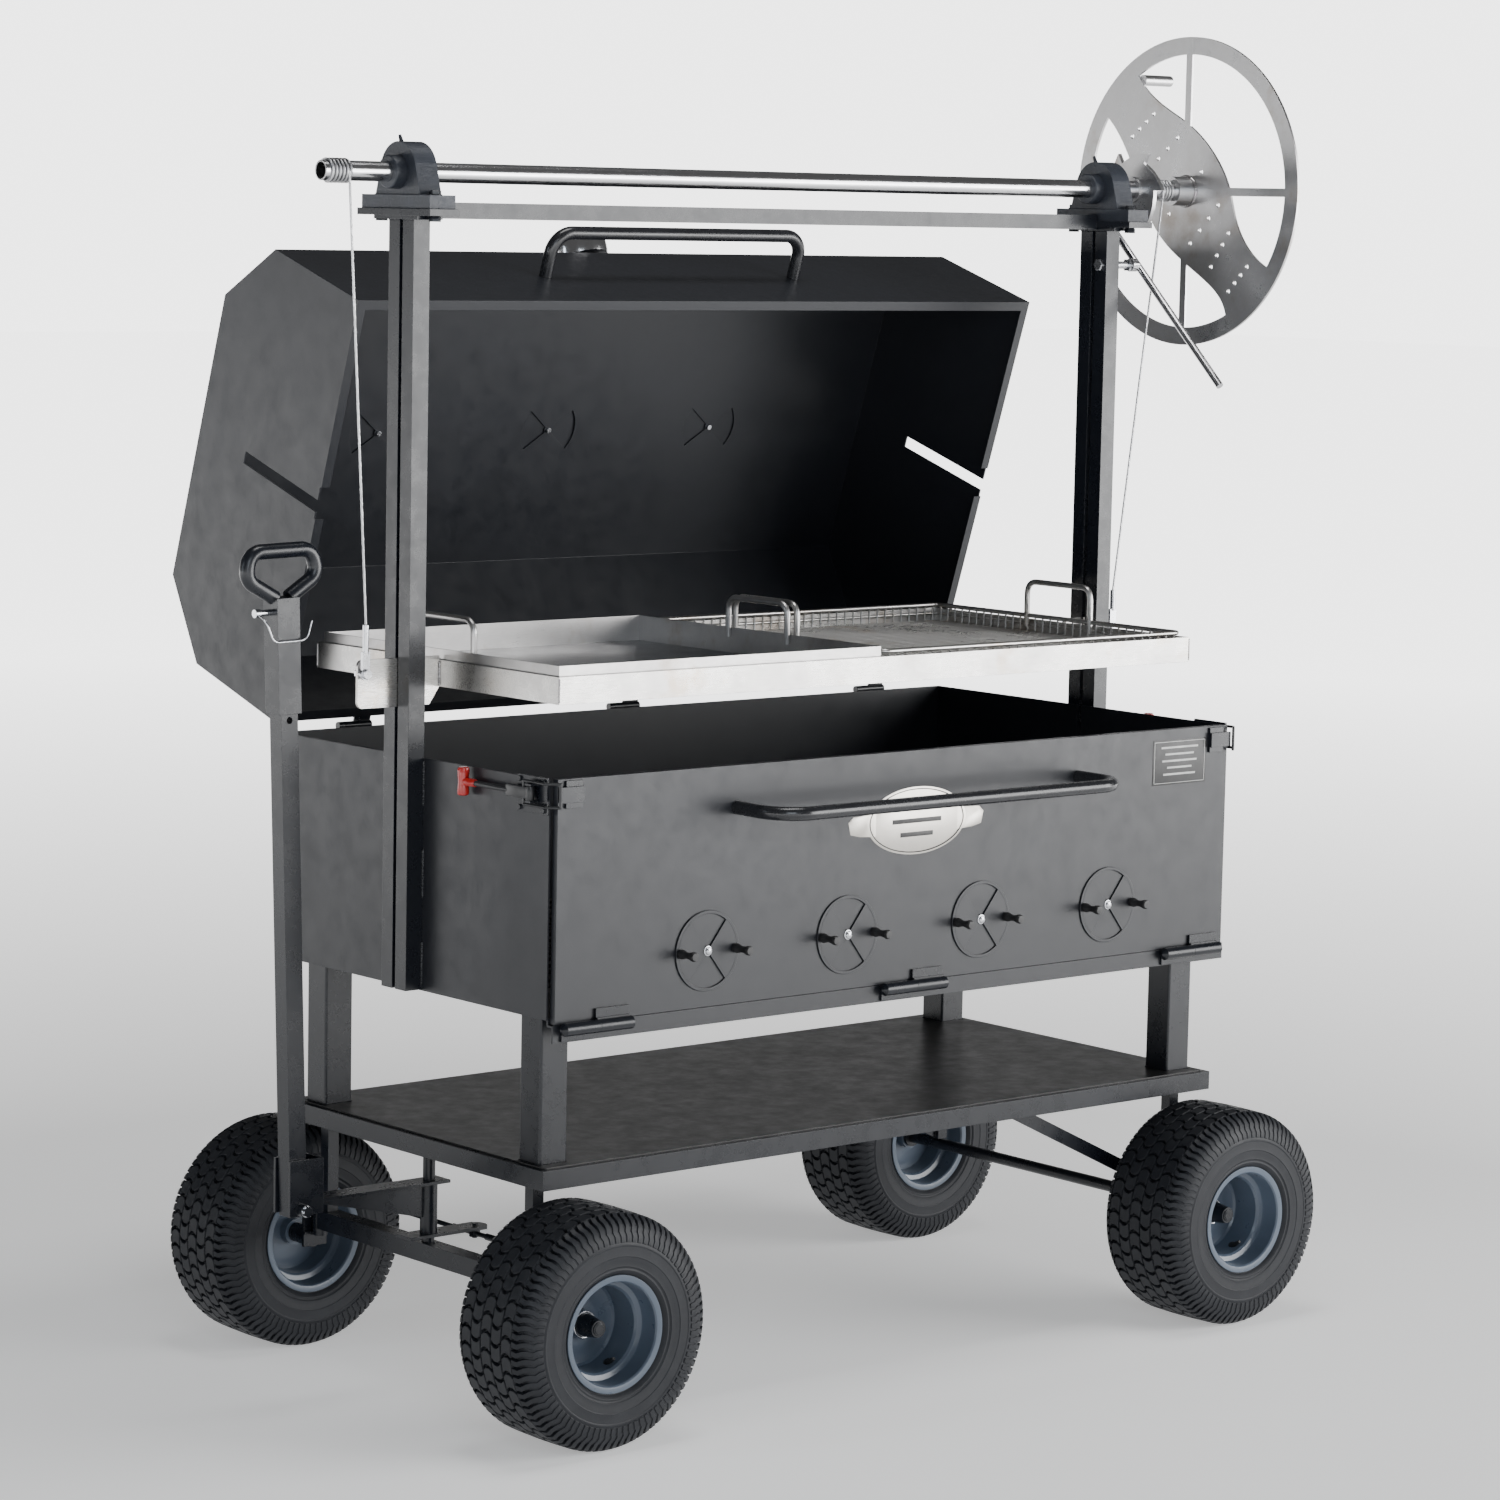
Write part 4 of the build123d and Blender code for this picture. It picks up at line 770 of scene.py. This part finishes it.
wide = (high.x - low.x) / 2
tall = (high.z - low.z) / 2
outline_slab(bm, oval(wide * 0.73, tall), face_y, low.y + 0.0008)
for side in (-1, 1):
    x0 = mid.x + side * wide * 0.60
    x1 = mid.x + side * wide
    wing = [(x0, mid.z + tall * 0.30), (x1 - side * 0.012, mid.z + tall * 0.26), (x1, mid.z + tall * 0.10)]
    wing += [(x1 - side * 0.006, mid.z - tall * 0.26), (x1 - side * 0.03, mid.z - tall * 0.34),
        (x0, mid.z - tall * 0.38)]
    outline_slab(bm, wing if side > 0 else list(reversed(wing)), face_y, low.y + 0.0010)
piece("badge_plate", bm, mats["badge_metal"], "door", 35, ["door_badge"])
bm = bmesh.new()
sweep(bm, [(x, low.y + 0.0007, z) for x, z in oval(wide * 0.69, tall * 0.93)], 0.0011, 6, True)
for i in range(3):
    z = mid.z + (1 - i) * tall * 0.40
    reach = wide * (0.46, 0.36, 0.24)[i]
    slab(bm, (mid.x - reach, low.y + 0.0001, z - 0.0045), (mid.x + reach, low.y + 0.0012, z + 0.0045), 0.0004)
piece("badge_lines", bm, ink_m, "door")

front_y = lo_hi("door_panel")[0].y
bm = bmesh.new()
slab(bm, (0.670, front_y - 0.0006, 1.143), (0.826, front_y, 1.237), 0.0002)
piece("label_field", bm, ink_m, "door")
bm = bmesh.new()
for x0, x1, z0, z1 in ((0.674, 0.822, 1.2325, 1.2335), (0.674, 0.822, 1.1465, 1.1475),
        (0.674, 0.675, 1.1465, 1.2335), (0.821, 0.822, 1.1465, 1.2335)):
    slab(bm, (x0, front_y - 0.0009, z0), (x1, front_y - 0.0005, z1), 0)
for i, share in enumerate((0.9, 0.7, 0.84, 0.6, 0.78)):
    z = 1.221 - i * 0.014
    slab(bm, (0.748 - 0.06 * share, front_y - 0.0009, z - 0.002),
        (0.748 + 0.06 * share, front_y - 0.0005, z + 0.002), 0)
piece("label_lines", bm, pale_m, "door")

# ------------------------------------------------------------------ thermometer

lid_joint = next(j for j in frame["joints"] if j["name"] == "lid_hinge")
hinge = Vector(lid_joint["pos_m"])
open_turn = radians(lid_joint["range_deg"][1])


def lid_point(x, u, w):
    """A place on the lid: u runs from the hinge to its front edge, w is its height when closed."""
    return Vector((x, hinge.y - u * cos(open_turn) + w * sin(open_turn),
        hinge.z + u * sin(open_turn) + w * cos(open_turn)))


dial_foot = lid_point(-0.070, 0.8595, 0.35325)
dial_out = (lid_point(-0.070, 1.8595, 1.35325) - dial_foot).normalized()
bm = bmesh.new()
case = [(0.0015, 0.0), (0.0015, 0.018), (0.013, 0.018), (0.015, 0.052), (0.018, 0.0585),
    (0.026, 0.0605), (0.042, 0.0615)]
case += [(0.047, 0.0612), (0.0495, 0.0595), (0.0492, 0.0560), (0.0465, 0.0548)]
lathe(bm, case, dial_foot, dial_out, 80)
piece("dial_case", bm, mats["dial"], "lid", 35, ["thermometer"])
bm = bmesh.new()
lathe(bm, [(0.0455, 0), (0.0455, 0.0552), (0.0468, 0.0552), (0.0468, 0)], dial_foot, dial_out, 64)
piece("dial_face", bm, face_m, "lid")
bm = bmesh.new()
dial_side, dial_up = axes(dial_out, Vector((1, 0, 0)))
for i in range(25):
    a = radians(-135 + i * 270 / 24)
    ray = dial_side * sin(a) + dial_up * cos(a)
    inner = 0.040 if i % 4 == 0 else 0.044
    sweep(bm, [dial_foot + dial_out * 0.0468 + ray * inner,
        dial_foot + dial_out * 0.0468 + ray * 0.050], 0.0007, 4)
ray = dial_side * sin(radians(-110)) + dial_up * cos(radians(-110))
sweep(bm, [dial_foot + dial_out * 0.0478 - ray * 0.012, dial_foot + dial_out * 0.0478 + ray * 0.042],
    0.0012, 6, radii=[0.0018, 0.0006])
lathe(bm, [(0.0470, 0), (0.0470, 0.004), (0.0490, 0.0035), (0.0490, 0)], dial_foot, dial_out, 24)
piece("dial_marks", bm, ink_m, "lid")

# ------------------------------------------------------------------ shaft, bearing rings and bolts

bm = bmesh.new()
pipe = [(shaft_low.x, 0.0158), (shaft_low.x, 0.0186), (shaft_low.x + 0.0005, 0.01905)]
pipe += [(shaft_high.x - 0.0005, 0.01905), (shaft_high.x, 0.0186), (shaft_high.x, 0.0158)]
lathe(bm, pipe, (0, 0, shaft_z), (1, 0, 0), 64, True)
piece("shaft_pipe", bm, mats["shaft_steel"], "winch", 35, ["winch_shaft"])
bm = bmesh.new()
for middle in (-0.920, 0.920):
    start, stop = middle - 0.050, middle + 0.027
    ring = [(start, 0.0192), (start, 0.0295), (start + 0.002, 0.0315), (start + 0.012, 0.0319),
        (stop - 0.002, 0.0319)]
    ring += [(stop, 0.0300), (stop, 0.0192)]
    lathe(bm, ring, (0, 0, shaft_z), (1, 0, 0), 64, True)
    lathe(bm, [(-0.001, 0), (-0.001, 0.0036), (0.0006, 0.0034), (0.0006, 0)],
        (start + 0.006, 0, shaft_z + 0.0313), (0, 0, 1), 16)
piece("bearing_rings", bm, mats["cast_housing"], "winch")
bolts_high = lo_hi("frame_bolts")[1]
head_top = bolts_high.z - 0.035
bm = bmesh.new()
for x in (-0.920, 0.920):
    for y in (-0.086, 0.086):
        top = Vector((x, y, bolts_high.z - 0.009))
        lathe(bm, [(0.0, 0.006), (0.0, 0.0135), (0.0018, 0.0135), (0.0020, 0.006)], top, (0, 0, 1), 32, True)
        hexagon(bm, top + Vector((0, 0, 0.0019)), (0, 0, 1), 0.020, 0.0070)
        lathe(bm, [(-0.046, 0), (-0.046, 0.0056), (0.001, 0.0058), (0.001, 0)], top, (0, 0, 1), 20)
        hexagon(bm, (x, y, head_top - 0.0240), (0, 0, 1), 0.020, 0.0108)
piece("bearing_bolts", bm, mats["frame_paint"], "wagon", 35, ["frame_bolts"])
bm = bmesh.new()
pawl = Vector(next(j for j in frame["joints"] if j["name"] == "pawl_turn")["pos_m"])
hexagon(bm, (0.8975, pawl.y, pawl.z), (-1, 0, 0), 0.024, 0.0090)
lathe(bm, [(0.889, 0), (0.889, 0.0079), (0.9855, 0.0079), (0.9858, 0)], (0, pawl.y, pawl.z), (1, 0, 0), 24)
lathe(bm, [(0.9356, 0.008), (0.9356, 0.0150), (0.9380, 0.0150), (0.9382, 0.008)], (0, pawl.y, pawl.z),
    (1, 0, 0), 32, True)
hexagon(bm, (0.9765, pawl.y, pawl.z), (1, 0, 0), 0.024, 0.0080)
piece("pawl_bolt", bm, mats["zinc"], "wagon")

# ------------------------------------------------------------------ drawbar hinge bolt

fold = Vector(next(j for j in frame["joints"] if j["name"] == "handle_fold")["pos_m"])
bm = bmesh.new()
for side in (-1, 1):
    lathe(bm, [(0.0452, 0.0), (0.0452, 0.0112), (0.0466, 0.0112), (0.0468, 0.0)], fold, (0, side, 0), 32)
    hexagon(bm, fold + Vector((0, side * 0.0467, 0)), (0, side, 0), 0.019, 0.0052)
piece("fold_bolt", bm, mats["zinc"], "pull_handle")

# ------------------------------------------------------------------ welds

panels_high = lo_hi("firebox_end_panels")[1]
bm = bmesh.new()
for side in (-1, 1):
    face_x = side * (panels_high.x + 0.0005)
    for y in (-0.0405, 0.0405):
        for z0, z1 in ((0.812, 0.900), (0.985, 1.080), (1.165, 1.252)):
            weld(bm, (face_x, y, z0), (face_x, y, z1))
    for y in (-0.040, 0.005):
        weld(bm, (side * 0.897, y, 2.2862), (side * 0.897, y + 0.035, 2.2862), 0.003)
        weld(bm, (side * 0.936, y, 2.2862), (side * 0.936, y + 0.035, 2.2862), 0.003)
piece("mast_welds", bm, weld_dark_m, "wagon", 60)

bm = bmesh.new()
leg_low, leg_high = lo_hi("legs")
shelf_z = leg_low.z
for sx in (-1, 1):
    for sy in (-1, 1):
        x0, x1 = sorted((sx * leg_high.x, sx * (leg_high.x - 0.0654)))
        y0, y1 = sorted((sy * leg_high.y, sy * (leg_high.y - 0.0654)))
        for z in (shelf_z + 0.0005, leg_high.z - 0.0005):
            weld(bm, (x0, y0, z), (x1, y0, z), 0.0035)
            weld(bm, (x0, y1, z), (x1, y1, z), 0.0035)
            weld(bm, (x0, y0, z), (x0, y1, z), 0.0035)
            weld(bm, (x1, y0, z), (x1, y1, z), 0.0035)
piece("leg_welds", bm, weld_dark_m, "wagon", 60)

bm = bmesh.new()
grate_low, grate_high = lo_hi("grate_frame")
for side in (-1, 1):
    x = side * (grate_high.x + 0.0005)
    for y in (-0.0035, 0.0035):
        weld(bm, (x, y, grate_low.z + 0.002), (x, y, grate_high.z - 0.002), 0.003)
    for y in (grate_low.y, grate_high.y):
        edge_y = y + (0.0006 if y < 0 else -0.0006)
        weld(bm, (side * (grate_high.x - 0.0006), edge_y, grate_low.z + 0.003),
            (side * (grate_high.x - 0.0006), edge_y, grate_high.z - 0.003), 0.0022)
piece("grate_welds", bm, weld_m, "grate", 60)

bm = bmesh.new()
plane_x = 1.1731
around = 96
line = [(plane_x - 0.001, cos(tau * i / around) * 0.0325,
    shaft_z + sin(tau * i / around) * 0.0325) for i in range(around)]
sweep(bm, line, 0.0035, 8, True, radii=[0.0035 * (0.75 + 0.25 * abs(sin(i * 1.3))) for i in range(around)])
piece("hub_weld", bm, weld_m, "winch", 60)

# ------------------------------------------------------------------ floor, light and camera

bm = bmesh.new()
bmesh.ops.create_grid(bm, x_segments=2, y_segments=2, size=60)
floor = bpy.data.meshes.new("floor")
bm.to_mesh(floor)
bm.free()
floor_obj = bpy.data.objects.new("floor", floor)
bpy.context.scene.collection.objects.link(floor_obj)
floor_mat, tree, shader, where = new_material("floor_m")
tree.links.new(blend_colour(tree, noise(tree, where, 2.0), (0.86, 0.86, 0.86), (0.88, 0.88, 0.88)),
    shader.inputs["Base Color"])
shader.inputs["Roughness"].default_value = 0.85
shader.inputs["Emission Color"].default_value = (1.0, 1.0, 1.0, 1)
reach = tree.nodes.new("ShaderNodeVectorMath")
reach.operation = "LENGTH"
tree.links.new(where, reach.inputs[0])
tree.links.new(ramp(tree, reach.outputs["Value"], 2.5, 14.0, 0.42, 3.4), shader.inputs["Emission Strength"])
floor.materials.append(floor_mat)

world = bpy.data.worlds.new("studio")
bpy.context.scene.world = world
world.use_nodes = True
tree = world.node_tree
sky = tree.nodes["Background"]
sky.inputs["Color"].default_value = (1.0, 1.0, 1.0, 1)
across = tree.nodes.new("ShaderNodeVectorMath")
across.operation = "DOT_PRODUCT"
across.inputs[1].default_value = (0.645, 0.764, 0.0)
tree.links.new(tree.nodes.new("ShaderNodeTexCoord").outputs["Generated"], across.inputs[0])
height = tree.nodes.new("ShaderNodeSeparateXYZ")
tree.links.new(tree.nodes["Texture Coordinate"].outputs["Generated"], height.inputs[0])
low_band = ramp(tree, height.outputs["Z"], 0.060, 0.110, 1.0, 0.0)
glow = tree.nodes.new("ShaderNodeMath")
glow.operation = "MULTIPLY_ADD"
tree.links.new(ramp(tree, across.outputs["Value"], 0.90, 0.96, 0.0, 3.6), glow.inputs[0])
tree.links.new(low_band, glow.inputs[1])
glow.inputs[2].default_value = 0.10
tree.links.new(glow.outputs["Value"], sky.inputs["Strength"])


def softbox(name, place, target, size, power, tint=(1.0, 1.0, 1.0)):
    data = bpy.data.lights.new(name, "AREA")
    data.shape = "RECTANGLE"
    data.size, data.size_y = size
    data.energy = power
    data.color = tint
    made = bpy.data.objects.new(name, data)
    made.location = place
    made.rotation_euler = (Vector(target) - Vector(place)).to_track_quat("-Z", "Y").to_euler()
    bpy.context.scene.collection.objects.link(made)


softbox("key", (-4.0, -6.5, 3.4), (0, 0, 1.1), (3.0, 3.0), 120, (0.84, 0.92, 1.0))
softbox("fill", (6.0, -6.5, 2.6), (0, 0, 1.2), (6.5, 4.5), 800)
softbox("top", (0.0, -0.5, 6.5), (0, 0, 1.0), (3.0, 1.5), 110)
softbox("side", (-7.5, 1.6, 2.2), (-0.5, 0, 1.0), (0.6, 3.5), 50, (0.80, 0.90, 1.0))

camera_place = Vector((-6.0265, -7.0882, 2.3194))
azimuth, elevation, roll = radians(-40.164), radians(6.784), radians(1.134)
back = Vector((sin(azimuth) * cos(elevation), -cos(azimuth) * cos(elevation), sin(elevation)))
right = Vector((cos(azimuth), sin(azimuth), 0))
up = back.cross(right)
right_rolled = right * cos(roll) + up * sin(roll)
up_rolled = up * cos(roll) - right * sin(roll)
lens = bpy.data.cameras.new("camera")
lens.lens = 109.31
lens.sensor_width = 36
camera = bpy.data.objects.new("camera", lens)
turned = Matrix((right_rolled, up_rolled, back)).transposed().to_4x4()
camera.matrix_world = Matrix.Translation(camera_place) @ turned
bpy.context.scene.collection.objects.link(camera)
bpy.context.scene.camera = camera
